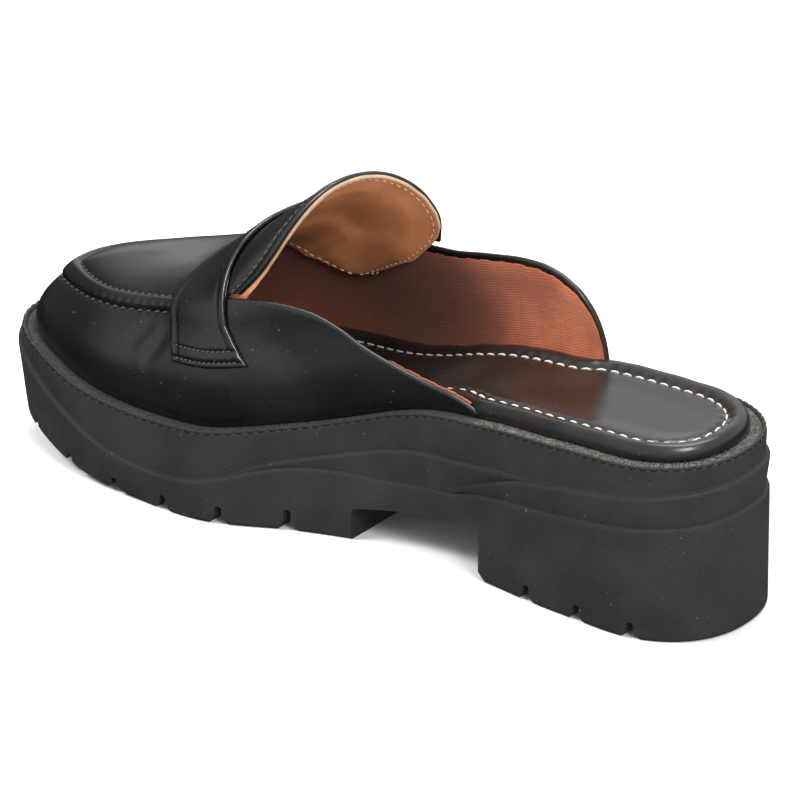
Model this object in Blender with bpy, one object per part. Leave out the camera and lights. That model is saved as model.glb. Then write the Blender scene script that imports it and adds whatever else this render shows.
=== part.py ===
"""Backless platform loafer, a slip-on clog for the right foot, standing on its sole.

Axes: +X runs to the toe, +Y to the inner (medial) side, +Z up from the ground.
A station is a place along the sole, 0 at the back of the heel and 1 at the toe.
Every piece is laid out from one plan outline, so the pieces follow each other when a size changes.
"""

import math

import bmesh
import bpy
import numpy as np

# Sole sizes, metres
SOLE_LENGTH = 0.262
BALL_WIDTH = 0.0955
HEEL_WIDTH = 0.063
HEEL_HEIGHT = 0.056
PLATFORM_HEIGHT = 0.0277
TOE_LIFT = 0.010
TOE_SPRING = 0.0105
TOE_UNDERCUT = 0.004
SIDE_STEP = 0.0011
LIP_ROUND = 0.0014
BOTTOM_ROUND = 0.0012
RIM_ROUND = 0.0014
WELT_GROOVE_INSET = 0.0036
WELT_GROOVE_WIDTH = 0.0014
WELT_GROOVE_DEPTH = 0.0006

# Tread and arch sizes
HEEL_BLOCK_LENGTH = 0.0815
ARCH_GAP = 0.0472
ARCH_HEIGHT_REAR = 0.0176
ARCH_HEIGHT_FRONT = 0.0102
BREAST_CHAMFER = 0.0030
NOTCH_PITCH = 0.0195
FORE_NOTCHES = 6
HEEL_NOTCHES = 3
NOTCH_TOP_WIDTH = 0.0022
NOTCH_FOOT_WIDTH = 0.0060
NOTCH_HEIGHT = 0.0068
TOE_NOTCH_HEIGHT = 0.0022
HEEL_NOTCH_HEIGHT = 0.0052

# Footbed sizes
LEDGE_INSET = 0.0060
FOOTBED_THICKNESS = 0.0048
FOOTBED_FORE_THICKNESS = 0.0034
FOOTBED_ROLL = 0.0070
FOOTBED_DISH = 0.0009

# Upper sizes
UPPER_WALL = 0.0019
WALL_BULGE = 0.0026
SEAM_HEIGHT = 0.0300
SEAM_INSET = 0.0190
INSTEP_HEIGHT = 0.0700
QUARTER_HEIGHT = 0.0390
RIDGE_WIDTH = 0.0060
RIDGE_HEIGHT = 0.0012

# Strap and tongue sizes
STRAP_THICKNESS = 0.0017
STRAP_FOOT_WIDTH = 0.0290
TONGUE_THICKNESS = 0.0022

# Fits: the air between neighbouring pieces
SEAT_CLEARANCE = 0.0003
WALL_CLEARANCE = 0.0007
STRAP_CLEARANCE = 0.00045
SEAM_CLEARANCE = 0.0004

# Stations of the upper's landmarks
MEDIAL_END = 0.334
LATERAL_END = 0.272
THROAT_CORNER = 0.655
THROAT_CREST = 0.690
FAN_STATION = 0.830
FAN_SOFTNESS = 0.050
RIDGE_START = 0.736

# Mesh densities
SOLE_COLUMNS = 112
FOOTBED_COLUMNS = 88
TOE_COLUMNS = 20
QUARTER_COLUMNS = 15
THROAT_COLUMNS = 3
STRAP_HALF_ROWS = 17
STRAP_COLUMNS = 4
TONGUE_HALF_ROWS = 11
TONGUE_COLUMNS = 6

# Round ends of the plan outline: length share and power of each superellipse
HEEL_ROUND, HEEL_POWER = 0.13, 2.25
TOE_ROUND, TOE_POWER = 0.20, 2.25
SAME_POINT = 0.00001
LEAST_LENGTH = 1e-12

# Shape of the profile lines: pulls of the wall at the feather and below the seam, as shares of its
# rise, and the share of the ridge that each of its soft edges takes
FEATHER_PULL = 0.38
SEAM_PULL = 0.34
RIDGE_EDGE = 0.12


class Table:
    """Short table of sections; its first column is the place that the others are read at."""

    def __init__(self, columns, rows):
        self.columns = columns
        self.values = np.array(rows, dtype=float)

    def at(self, name, place):
        """Read one column at any place, along a smooth curve through the rows."""
        return smooth_curve(self.values[:, 0], self.values[:, self.columns.index(name)], place)


# Plan outline, as shares of the local width
OUTLINE = Table(("station", "medial", "lateral"), (
    (0.00, 0.524, -0.438),
    (0.10, 0.504, -0.493),
    (0.20, 0.454, -0.540),
    (0.32, 0.328, -0.511),
    (0.44, 0.244, -0.488),
    (0.55, 0.292, -0.519),
    (0.66, 0.408, -0.583),
    (0.76, 0.405, -0.545),
    (0.86, 0.385, -0.455),
    (0.93, 0.368, -0.385),
    (1.00, 0.385, -0.325),
))

# Top of the sole, as shares of the rise from platform to heel
RISE = Table(("station", "rise"), (
    (0.00, 1.000), (0.10, 0.943), (0.20, 0.880), (0.30, 0.785), (0.40, 0.650), (0.45, 0.520),
    (0.50, 0.362), (0.55, 0.230), (0.60, 0.132), (0.66, 0.042), (0.74, 0.000), (1.00, 0.000),
))

# Stepped lines round the sole's side, as shares of the height from ground to top
SIDE_LINES = Table(("station", "upper", "leaf", "lower"), (
    (0.00, 0.880, 0.872, 0.680),
    (0.10, 0.830, 0.822, 0.640),
    (0.20, 0.775, 0.765, 0.595),
    (0.26, 0.757, 0.722, 0.578),
    (0.31, 0.750, 0.640, 0.556),
    (0.365, 0.738, 0.530, 0.506),
    (0.40, 0.745, 0.506, 0.500),
    (0.46, 0.745, 0.521, 0.515),
    (0.51, 0.735, 0.591, 0.585),
    (0.55, 0.705, 0.622, 0.616),
    (0.59, 0.655, 0.610, 0.602),
    (0.63, 0.550, 0.542, 0.534),
    (0.68, 0.455, 0.448, 0.441),
    (0.73, 0.432, 0.425, 0.418),
    (0.80, 0.478, 0.471, 0.464),
    (0.86, 0.610, 0.603, 0.596),
    (0.92, 0.720, 0.713, 0.706),
    (1.00, 0.900, 0.892, 0.884),
))

# Last of the upper: seam and crest as shares of the seam inset, seam height and instep height,
# shift of the crest to the inner side as a share of the local width, slope at the seam in degrees,
# and how full the section is beside the seam (shoulder) and beside the crest (brow)
LAST = Table(
    ("station", "seam_inset", "seam_height", "crest_height", "crest_side", "slope", "shoulder", "brow"), (
        (0.26, 0.40, 1.00, 1.200, 0.06, 84, 0.46, 0.56),
        (0.45, 0.46, 1.00, 1.110, 0.08, 84, 0.46, 0.56),
        (0.56, 0.50, 1.04, 1.030, 0.09, 80, 0.43, 0.52),
        (0.66, 0.60, 1.03, 0.806, 0.09, 73, 0.43, 0.53),
        (0.72, 0.68, 1.00, 0.632, 0.08, 65, 0.39, 0.50),
        (0.80, 0.76, 0.94, 0.520, 0.05, 56, 0.33, 0.46),
        (0.88, 0.81, 0.84, 0.460, 0.03, 48, 0.28, 0.43),
        (0.95, 0.85, 0.69, 0.400, 0.01, 44, 0.26, 0.42),
        (1.00, 0.88, 0.56, 0.360, 0.00, 42, 0.26, 0.42),
    ))

# Toplines of the two quarters, as shares of the quarter height above the sole
MEDIAL_TOPLINE = Table(("station", "height"), (
    (0.334, 0.05), (0.350, 0.10), (0.370, 0.15), (0.400, 0.21), (0.430, 0.30), (0.465, 0.44),
    (0.490, 0.565), (0.515, 0.71), (0.545, 0.845), (0.580, 0.945), (0.620, 0.995), (0.655, 1.01),
    (0.700, 1.02),
))
LATERAL_TOPLINE = Table(("station", "height"), (
    (0.272, 0.03), (0.277, 0.16), (0.287, 0.39), (0.303, 0.60), (0.323, 0.72), (0.350, 0.80),
    (0.385, 0.84), (0.440, 0.865), (0.490, 0.89), (0.540, 0.94), (0.600, 0.98), (0.655, 1.00),
    (0.700, 1.02),
))

# Strap from its foot up to the crest: profile place, centre station and share of the foot width
STRAP = Table(("profile", "centre", "width"), (
    (0.29, 0.663, 1.00),
    (0.45, 0.682, 0.93),
    (0.56, 0.694, 0.83),
    (0.70, 0.699, 0.71),
    (0.85, 0.697, 0.63),
    (1.00, 0.694, 0.60),
))

# Raised apron seam: profile place of its outer edge and share of the ridge width
RIDGE = Table(("station", "outer", "width"), (
    (0.69, 0.545, 0.80),
    (0.75, 0.519, 0.85),
    (0.80, 0.481, 0.93),
    (0.85, 0.450, 1.00),
    (0.90, 0.424, 1.10),
    (0.95, 0.410, 1.25),
    (1.00, 0.404, 1.30),
))

# Free edge of the tongue, from the corner at the topline (0) to the crest (1), as stations
TONGUE_EDGE = Table(("rise", "medial", "lateral"), (
    (0.00, 0.632, 0.520),
    (0.13, 0.616, 0.514),
    (0.28, 0.606, 0.524),
    (0.50, 0.598, 0.548),
    (0.75, 0.591, 0.572),
    (1.00, 0.585, 0.585),
))


def smooth_curve(places, values, place):
    """Smooth curve through rows: cubic pieces whose slope at a row is the mean of its neighbours'."""
    place = np.clip(place, places[0], places[-1])
    gap = np.diff(places)
    slope = np.diff(values) / gap
    tangent = np.empty(len(places))
    tangent[1:-1] = (slope[:-1] * gap[1:] + slope[1:] * gap[:-1]) / (gap[1:] + gap[:-1])
    tangent[0], tangent[-1] = slope[0], slope[-1]
    row = np.clip(np.searchsorted(places, place, side="right") - 1, 0, len(gap) - 1)
    t = (place - places[row]) / gap[row]
    start = (1 + 2 * t) * (1 - t) ** 2 * values[row] + t * (1 - t) ** 2 * gap[row] * tangent[row]
    end = t * t * (3 - 2 * t) * values[row + 1] - t * t * (1 - t) * gap[row] * tangent[row + 1]
    return start + end


def ease(t):
    """Soft step from 0 to 1."""
    t = np.clip(t, 0.0, 1.0)
    return t * t * (3 - 2 * t)


def lay(x, y, z):
    """Stack three coordinate arrays of like shape as points."""
    return np.stack(np.broadcast_arrays(x, y, z), axis=-1)


def station_of(turn):
    """Station of a place on the outline ring; turn runs 0 heel, inner side, 0.5 toe, outer side, 1."""
    return 0.5 - 0.5 * np.cos(2 * math.pi * np.asarray(turn, dtype=float))


def turn_of(station, side):
    """Place on the ring of a station on the inner (+1) or outer (-1) side."""
    turn = np.arccos(1 - 2 * np.clip(station, 0.0, 1.0)) / (2 * math.pi)
    return np.where(side > 0, turn, 1 - turn)


def local_width(station):
    """Width that the outline's shares follow, growing from heel to ball."""
    return HEEL_WIDTH + (BALL_WIDTH - HEEL_WIDTH) * ease((station - 0.15) / 0.45)


def side_offsets(station):
    """Centre line and half width of the sole, before the plan is centred."""
    heel = np.clip(1 - station / HEEL_ROUND, 0, 1)
    toe = np.clip(1 - (1 - station) / TOE_ROUND, 0, 1)
    ends = (1 - heel ** HEEL_POWER) ** (1 / HEEL_POWER) * (1 - toe ** TOE_POWER) ** (1 / TOE_POWER)
    width = local_width(station)
    medial, lateral = OUTLINE.at("medial", station) * width, OUTLINE.at("lateral", station) * width
    return (medial + lateral) / 2, (medial - lateral) / 2 * ends


def plan_middle():
    """Middle of the plan across the shoe, which goes on the X axis."""
    centre, half = side_offsets(np.linspace(0, 1, 801))
    return (np.max(centre + half) + np.min(centre - half)) / 2


PLAN_MIDDLE = plan_middle()


def plan_point(turn):
    """Plan coordinates of a place on the outline ring."""
    station = station_of(turn)
    centre, half = side_offsets(station)
    side = np.where(np.asarray(turn) % 1.0 <= 0.5, 1.0, -1.0)
    return (station - 0.5) * SOLE_LENGTH, centre - PLAN_MIDDLE + side * half


def plan_ring(turn, inset):
    """Plan coordinates of the outline moved inward by an inset, square to the outline."""
    nudge = 0.0005
    x, y = plan_point(turn)
    x_next, y_next = plan_point(np.asarray(turn) + nudge)
    x_back, y_back = plan_point(np.asarray(turn) - nudge)
    run_x, run_y = x_next - x_back, y_next - y_back
    run = np.hypot(run_x, run_y)
    return x + run_y / run * inset, y - run_x / run * inset


def station_at(x):
    """Station of an X coordinate."""
    return x / SOLE_LENGTH + 0.5


def sole_top(x):
    """Height of the sole's flat top, which the upper and the footbed sit on."""
    station = station_at(x)
    lift = TOE_LIFT * np.clip((station - 0.74) / 0.26, 0, 1) ** 1.6
    return PLATFORM_HEIGHT + (HEEL_HEIGHT - PLATFORM_HEIGHT) * RISE.at("rise", station) + lift


def sole_bottom(x):
    """Height of the tread: flat on the ground, then the toe spring."""
    return TOE_SPRING * np.clip((station_at(x) - 0.70) / 0.30, 0, 1) ** 2


def mesh_object(name, points, faces, finish):
    """Make a closed mesh object with its faces turned outward and round faces shaded smooth."""
    mesh = bpy.data.meshes.new(name)
    shape = bmesh.new()
    verts = [shape.verts.new(point) for point in points]
    for face in faces:
        shape.faces.new([verts[index] for index in face])
    bmesh.ops.remove_doubles(shape, verts=shape.verts, dist=SAME_POINT)
    bmesh.ops.recalc_face_normals(shape, faces=shape.faces)
    shape.to_mesh(mesh)
    shape.free()
    mesh.shade_smooth()
    mesh.set_sharp_from_angle(angle=math.radians(35))
    mesh.materials.append(finish)
    thing = bpy.data.objects.new(name, mesh)
    bpy.context.collection.objects.link(thing)
    return thing


def stacked_solid(name, rings, finish):
    """Close a stack of like rings, bottom first, with strips across the shoe at both ends."""
    count = len(rings[0])
    points = np.concatenate(rings)
    faces = []
    for level in range(len(rings) - 1):
        low, high = level * count, (level + 1) * count
        for i in range(count):
            j = (i + 1) % count
            faces.append((low + i, low + j, high + j, high + i))
    for start, turned in ((0, True), ((len(rings) - 1) * count, False)):
        for i in range(count // 2):
            strip = [i, i + 1, (count - i - 1) % count, (count - i) % count]
            strip = list(dict.fromkeys(start + index for index in strip))
            faces.append(strip[::-1] if turned else strip)
    return mesh_object(name, points, faces, finish)


def sheet_faces(rows, columns, start, turned):
    """Quads of a grid of points, row by row."""
    faces = []
    for row in range(rows - 1):
        for column in range(columns - 1):
            corner = start + row * columns + column
            face = (corner, corner + 1, corner + columns + 1, corner + columns)
            faces.append(face[::-1] if turned else face)
    return faces


def walled_solid(name, outer, inner, finish, open_top=None):
    """Join an outer and an inner grid (rows, columns, 3) into one closed wall.

    open_top lists, for each row gap, whether the last column is a free edge that needs closing.
    """
    rows, columns = outer.shape[:2]
    points = np.concatenate([outer.reshape(-1, 3), inner.reshape(-1, 3)])
    back = rows * columns
    faces = sheet_faces(rows, columns, 0, False) + sheet_faces(rows, columns, back, True)
    for row in range(rows - 1):
        near, far = row * columns, (row + 1) * columns
        faces.append((near, far, back + far, back + near))
        if open_top is None or open_top[row]:
            near, far = near + columns - 1, far + columns - 1
            faces.append((far, near, back + near, back + far))
    for column in range(columns - 1):
        faces.append((column + 1, column, back + column, back + column + 1))
        last = (rows - 1) * columns + column
        faces.append((last, last + 1, back + last + 1, back + last))
    return mesh_object(name, points, faces, finish)


def material(name, colour, roughness):
    """Principled material of one piece."""
    look = bpy.data.materials.new(name)
    look.use_nodes = True
    shader = look.node_tree.nodes["Principled BSDF"]
    shader.inputs["Base Color"].default_value = (*colour, 1.0)
    shader.inputs["Roughness"].default_value = roughness
    shader.inputs["Metallic"].default_value = 0.0
    return look


def sole_ring(turn, line, lift, inset):
    """One ring of the sole's side: on the ground, on a stepped line or on the top."""
    x, y = plan_ring(turn, inset)
    bottom, top = sole_bottom(x), sole_top(x)
    share = {"ground": 0.0, "top": 1.0}.get(line)
    if share is None:
        share = SIDE_LINES.at(line, station_of(turn))
    return lay(x, y, bottom + share * (top - bottom) + lift)


def sole_rings():
    """Rings of the sole unit: undercut tread edge, two or three stepped bands, rim and groove."""
    turn = np.arange(SOLE_COLUMNS) / SOLE_COLUMNS
    station = station_of(turn)
    undercut = TOE_UNDERCUT * np.clip((station - 0.6) / 0.4, 0, 1) ** 1.5
    depth = sole_top((station - 0.5) * SOLE_LENGTH) - sole_bottom((station - 0.5) * SOLE_LENGTH)
    leaf_room = (SIDE_LINES.at("leaf", station) - SIDE_LINES.at("lower", station)) * depth
    upper_room = (SIDE_LINES.at("upper", station) - SIDE_LINES.at("leaf", station)) * depth
    leaf_lip = SIDE_STEP * (1 - ease(leaf_room / (4 * LIP_ROUND)))
    upper_lip = SIDE_STEP * (1 - ease(upper_room / (4 * LIP_ROUND)))
    groove_end = WELT_GROOVE_INSET + WELT_GROOVE_WIDTH / 2
    rings = [
        sole_ring(turn, "ground", 0.0, undercut + BOTTOM_ROUND),
        sole_ring(turn, "ground", BOTTOM_ROUND, undercut * 0.8 + BOTTOM_ROUND * 0.4),
        sole_ring(turn, "lower", -LIP_ROUND, 0.0),
        sole_ring(turn, "lower", -LIP_ROUND * 0.2, SIDE_STEP * 0.35),
        sole_ring(turn, "lower", 0.0, SIDE_STEP),
        sole_ring(turn, "leaf", -LIP_ROUND, leaf_lip),
        sole_ring(turn, "leaf", 0.0, SIDE_STEP),
        sole_ring(turn, "upper", -LIP_ROUND, upper_lip),
        sole_ring(turn, "upper", -LIP_ROUND * 0.2, upper_lip * 0.65 + SIDE_STEP * 0.35),
        sole_ring(turn, "upper", 0.0, SIDE_STEP * 1.2),
        sole_ring(turn, "top", -RIM_ROUND, SIDE_STEP),
        sole_ring(turn, "top", 0.0, SIDE_STEP + RIM_ROUND * 0.5),
        sole_ring(turn, "top", 0.0, WELT_GROOVE_INSET - WELT_GROOVE_WIDTH / 2),
        sole_ring(turn, "top", -WELT_GROOVE_DEPTH, WELT_GROOVE_INSET),
        sole_ring(turn, "top", 0.0, groove_end),
    ]
    least_rise = LIP_ROUND * 0.15
    for below, ring in zip(rings[:9], rings[1:10]):
        ring[:, 2] = np.maximum(ring[:, 2], below[:, 2] + least_rise)
    return rings


def prism_points(profile, half_width):
    """Corners of a prism across the shoe from an outline in the XZ plane."""
    return [(x, side * half_width, z) for side in (-1, 1) for x, z in profile]


def tread_cutter():
    """Cutter for the arch under the waist and for the notches of the tread."""
    heel_front = HEEL_BLOCK_LENGTH - SOLE_LENGTH / 2
    lug_back = heel_front + ARCH_GAP
    below = -2 * BREAST_CHAMFER
    profiles = [[
        (heel_front - BREAST_CHAMFER, below), (heel_front - BREAST_CHAMFER, 0.0),
        (heel_front, BREAST_CHAMFER), (heel_front, ARCH_HEIGHT_REAR),
        (lug_back, ARCH_HEIGHT_FRONT), (lug_back, below),
    ]]
    for count in range(1, FORE_NOTCHES + 1):
        share = (count - 1) / (FORE_NOTCHES - 1)
        height = NOTCH_HEIGHT + (TOE_NOTCH_HEIGHT - NOTCH_HEIGHT) * share
        profiles.append(notch_profile(lug_back + count * NOTCH_PITCH, height))
    for count in range(1, HEEL_NOTCHES + 1):
        profiles.append(notch_profile(heel_front - count * NOTCH_PITCH, HEEL_NOTCH_HEIGHT))
    points, faces = [], []
    for profile in profiles:
        start, count = len(points), len(profile)
        points += prism_points(profile, BALL_WIDTH)
        faces.append([start + i for i in range(count)])
        faces.append([start + count + i for i in reversed(range(count))])
        for i in range(count):
            j = (i + 1) % count
            faces.append((start + i, start + count + i, start + count + j, start + j))
    cutter = mesh_object("tread_cutter", points, faces, material("cutter", (0.5, 0.5, 0.5), 0.5))
    cutter.hide_render = True
    cutter.display_type = "WIRE"
    return cutter


def notch_profile(middle, height):
    """Side view of one notch: flared foot, narrow throat, cut up from below the tread."""
    foot = NOTCH_FOOT_WIDTH / 2
    throat = NOTCH_TOP_WIDTH / 2
    ground = float(sole_bottom(middle))
    return [
        (middle - foot, -height), (middle - foot, ground),
        (middle - throat, ground + height * 0.45), (middle - throat, ground + height),
        (middle + throat, ground + height), (middle + throat, ground + height * 0.45),
        (middle + foot, ground), (middle + foot, -height),
    ]


def make_outsole():
    """Rubber sole unit with its heel block, arch, stepped side and notched tread."""
    sole = stacked_solid("outsole", sole_rings(), material("rubber_charcoal", (0.055, 0.052, 0.05), 0.75))
    cut = sole.modifiers.new("tread", "BOOLEAN")
    cut.operation = "DIFFERENCE"
    cut.solver = "EXACT"
    cut.object = tread_cutter()
    return sole


def footbed_inset(turn):
    """Edge of the footbed: out on the ledge behind the quarters, inside the wall ahead of them."""
    station = station_of(turn)
    side = np.where(turn <= 0.5, 1, -1)
    quarter_end = np.where(side > 0, MEDIAL_END, LATERAL_END)
    inside = UPPER_WALL + WALL_CLEARANCE
    return LEDGE_INSET + inside * ease((station - quarter_end + 0.040) / 0.030)


def make_footbed():
    """Padded footbed with a rolled edge and a shallow dish inside the stitch line."""
    turn = np.arange(FOOTBED_COLUMNS) / FOOTBED_COLUMNS
    edge = footbed_inset(turn)
    thick = FOOTBED_THICKNESS + (FOOTBED_FORE_THICKNESS - FOOTBED_THICKNESS) * ease(
        (station_of(turn) - 0.35) / 0.25)
    levels = Table(("inset", "height"), (
        (0.06, 0.00), (0.00, 0.22), (0.02, 0.62), (0.22, 0.92), (0.55, 1.00), (0.90, 0.96),
    ))
    rings = []
    for inset_share, height_share in levels.values:
        x, y = plan_ring(turn, edge + inset_share * FOOTBED_ROLL)
        rings.append(lay(x, y, sole_top(x) + SEAT_CLEARANCE + height_share * thick))
    x, y = plan_ring(turn, edge + 1.35 * FOOTBED_ROLL)
    rings.append(lay(x, y, sole_top(x) + SEAT_CLEARANCE + thick - FOOTBED_DISH))
    return stacked_solid("footbed", rings, material("leather_footbed", (0.02, 0.018, 0.018), 0.35))


def bezier(start, pull_start, pull_end, end, t):
    """Point on a cubic curve."""
    t = t[..., None]
    return ((1 - t) ** 3 * start + 3 * t * (1 - t) ** 2 * pull_start
            + 3 * t * t * (1 - t) * pull_end + t ** 3 * end)


def crest_point(station):
    """Point on the crest line of the upper and the tongue."""
    x = (station - 0.5) * SOLE_LENGTH
    centre, _ = side_offsets(station)
    y = centre - PLAN_MIDDLE + LAST.at("crest_side", station) * local_width(station)
    return lay(x, y, sole_top(x) + INSTEP_HEIGHT * LAST.at("crest_height", station))


def crest_station(station):
    """Station where a profile line meets the crest; at the toe the lines fan out from one place."""
    return station - FAN_SOFTNESS * np.log1p(np.exp((station - FAN_STATION) / FAN_SOFTNESS))


def last_points(turn):
    """Feather, seam and crest points of the profile lines at places on the ring."""
    station = station_of(turn)
    x, y = plan_ring(turn, LEDGE_INSET)
    feather = lay(x, y, sole_top(x) + SEAT_CLEARANCE)
    x, y = plan_ring(turn, SEAM_INSET * LAST.at("seam_inset", station))
    rim = sole_top((station - 0.5) * SOLE_LENGTH)
    seam = lay(x, y, rim + SEAM_HEIGHT * LAST.at("seam_height", station))
    return feather, seam, crest_point(crest_station(station))


def last_surface(turn, profile):
    """Smooth outer surface of the upper; profile runs 0 feather, 0.5 seam, 1 crest."""
    turn, profile = np.broadcast_arrays(np.asarray(turn, float), np.asarray(profile, float))
    feather, seam, crest = last_points(turn)
    inward = crest - seam
    reach = np.hypot(inward[..., 0], inward[..., 1])
    inward = inward / reach[..., None] * np.array([1.0, 1.0, 0.0])
    outward_x, outward_y = plan_ring(turn, LEDGE_INSET - WALL_BULGE)
    bulge = lay(outward_x - feather[..., 0], outward_y - feather[..., 1], np.zeros(turn.shape))
    station = station_of(turn)
    slope = np.radians(LAST.at("slope", station))[..., None]
    along = inward * np.cos(slope) + np.array([0.0, 0.0, 1.0]) * np.sin(slope)
    rise = (seam[..., 2] - feather[..., 2])[..., None]
    upright = np.array([0.0, 0.0, 1.0])
    wall = bezier(feather, feather + bulge + upright * rise * FEATHER_PULL,
                  seam - along * rise * SEAM_PULL, seam, np.clip(profile * 2, 0, 1))
    span = np.linalg.norm(crest - seam, axis=-1)[..., None]
    shoulder = along * span * LAST.at("shoulder", station)[..., None]
    brow = inward * (reach * LAST.at("brow", station))[..., None]
    plug = bezier(seam, seam + shoulder, crest - brow, crest, np.clip(profile * 2 - 1, 0, 1))
    return np.where((profile <= 0.5)[..., None], wall, plug)


def last_normal(turn, profile):
    """Outward direction of the upper's surface."""
    nudge = 0.0004
    turn, profile = np.broadcast_arrays(np.asarray(turn, float), np.asarray(profile, float))
    along = last_surface(turn + nudge, profile) - last_surface(turn - nudge, profile)
    low = np.clip(profile - nudge, 0, 1)
    high = np.clip(profile + nudge, 0, 1)
    up = last_surface(turn, high) - last_surface(turn, low)
    normal = np.cross(up, along)
    normal /= np.maximum(np.linalg.norm(normal, axis=-1), LEAST_LENGTH)[..., None]
    station = crest_station(station_of(turn))
    run = crest_point(station + nudge) - crest_point(station - nudge)
    top = lay(-run[..., 2], np.zeros(turn.shape), run[..., 0])
    top /= np.linalg.norm(top, axis=-1)[..., None]
    return np.where((profile > 0.9999)[..., None], top, normal)


def ridge_edges(turn):
    """Profile places where the raised apron seam begins and ends, a ridge width apart."""
    station = station_of(turn)
    outer = RIDGE.at("outer", station)
    step = 0.05
    reach = np.linalg.norm(last_surface(turn, outer + step) - last_surface(turn, outer), axis=-1)
    return outer, outer + step * RIDGE_WIDTH * RIDGE.at("width", station) / reach


def upper_surface(turn, profile, raise_by=0.0):
    """Outer surface with the raised apron ridge, moved outward by an amount."""
    start, end = ridge_edges(turn)
    share = (profile - start) / (end - start)
    ridge = ease(share / RIDGE_EDGE) * ease((1 - share) / RIDGE_EDGE)
    ridge = RIDGE_HEIGHT * ridge * ease((station_of(turn) - RIDGE_START) / 0.02)
    height = (ridge + raise_by)[..., None]
    return last_surface(turn, profile) + last_normal(turn, profile) * height


def topline_profile(station, side):
    """Profile place of a quarter's topline, found by its height above the sole."""
    table = MEDIAL_TOPLINE if side > 0 else LATERAL_TOPLINE
    station = np.atleast_1d(station)
    places = np.linspace(0.0, 1.0, 81)
    turn = turn_of(station, side)
    heights = last_surface(turn[:, None], places[None, :])[..., 2]
    heights = heights - sole_top((station - 0.5) * SOLE_LENGTH)[:, None]
    wanted = QUARTER_HEIGHT * table.at("height", station)
    return np.array([np.interp(goal, column, places) for goal, column in zip(wanted, heights)])


def throat_rise(station):
    """How far up the profile the vamp's back edge has run, 0 at the topline and 1 at the crest."""
    return np.clip((station - THROAT_CORNER) / (THROAT_CREST - THROAT_CORNER), 0, 1)


def upper_columns(side, end):
    """Stations of the upper's columns on one side, from the quarter's end to the toe."""
    quarter = end + (THROAT_CORNER - end) * np.linspace(0, 1, QUARTER_COLUMNS) ** 1.15
    throat = np.linspace(THROAT_CORNER, THROAT_CREST, THROAT_COLUMNS + 1)[1:]
    toe = np.linspace(turn_of(THROAT_CREST, 1), 0.5, TOE_COLUMNS + 1)[1:]
    return np.concatenate([quarter, throat, station_of(toe)])


def make_upper():
    """Vamp, quarters and raised apron seam as one hollow wall, open at the throat and underneath."""
    medial = upper_columns(1, MEDIAL_END)
    lateral = upper_columns(-1, LATERAL_END)[:-1][::-1]
    station = np.concatenate([medial, lateral])
    side = np.concatenate([np.ones(len(medial)), -np.ones(len(lateral))])
    turn = turn_of(station, side)
    edge = np.concatenate([topline_profile(medial, 1), topline_profile(lateral, -1)])
    top = edge + throat_rise(station) * (1 - edge)
    wall_rows = np.array([0.0, 0.14, 0.30, 0.48, 0.68, 0.86, 1.0])
    ridge_rows = np.array([RIDGE_EDGE, 0.50, 1 - RIDGE_EDGE, 1.0])
    plug_rows = np.array([0.30, 0.60, 0.82, 1.0])
    start, end = ridge_edges(turn)
    start, end = start[:, None], end[:, None]
    rows = np.concatenate([
        start * wall_rows,
        start + ridge_rows * (end - start),
        end + plug_rows * (1 - end),
    ], axis=1) * top[:, None]
    columns = np.broadcast_to(turn[:, None], rows.shape)
    outer = upper_surface(columns, rows)
    inner = last_surface(columns, rows) - last_normal(columns, rows) * UPPER_WALL
    seat = sole_top(inner[:, 0, 0]) + SEAT_CLEARANCE
    inner[:, 0, 2] = seat
    free_edge = np.minimum(throat_rise(station[:-1]), throat_rise(station[1:])) < 1
    return walled_solid("upper", outer, inner, material("leather_black", (0.012, 0.012, 0.013), 0.28),
                        open_top=free_edge)


def make_strap():
    """Saddle strap over the instep, wide at both feet and narrow on the crest."""
    foot = STRAP.values[0, 0]
    half = foot + (1 - foot) * np.linspace(0, 1, STRAP_HALF_ROWS)
    profile = np.concatenate([half, half[-2::-1]])
    side = np.where(np.arange(len(profile)) < len(half) - 0.5, 1.0, -1.0)
    across = np.linspace(0.5, -0.5, STRAP_COLUMNS)
    width = STRAP_FOOT_WIDTH / SOLE_LENGTH * STRAP.at("width", profile)
    station = STRAP.at("centre", profile)[:, None] + across[None, :] * width[:, None]
    turn = turn_of(station, side[:, None])
    rows = np.broadcast_to(profile[:, None], turn.shape)
    outer = upper_surface(turn, rows, np.array(STRAP_CLEARANCE + STRAP_THICKNESS))
    inner = upper_surface(turn, rows, np.array(STRAP_CLEARANCE))
    return walled_solid("strap", outer, inner, material("leather_strap", (0.013, 0.013, 0.014), 0.28))


def make_tongue():
    """Tongue that continues the last behind the vamp and stands free over the instep."""
    rise = np.linspace(0, 1, TONGUE_HALF_ROWS)
    gap = SEAM_CLEARANCE / SOLE_LENGTH
    front = THROAT_CORNER + (THROAT_CREST - THROAT_CORNER) * rise - gap
    share = np.linspace(0, 1, TONGUE_COLUMNS)
    halves = []
    for side, name in ((1, "medial"), (-1, "lateral")):
        back = TONGUE_EDGE.at(name, rise)
        station = front[:, None] + share[None, :] * (back - front)[:, None]
        low = topline_profile(station.ravel(), side).reshape(station.shape)
        low = low + SEAM_CLEARANCE / SEAM_HEIGHT
        rows = low + rise[:, None] * (1 - low)
        turn = turn_of(station, np.full(station.shape, side))
        outer = last_surface(turn, rows)
        halves.append((outer, outer - last_normal(turn, rows) * TONGUE_THICKNESS))
    (medial_out, medial_in), (lateral_out, lateral_in) = halves
    outer = np.concatenate([medial_out, lateral_out[-2::-1]])
    inner = np.concatenate([medial_in, lateral_in[-2::-1]])
    return walled_solid("tongue", outer, inner, material("leather_tongue", (0.014, 0.013, 0.013), 0.3))


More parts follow.
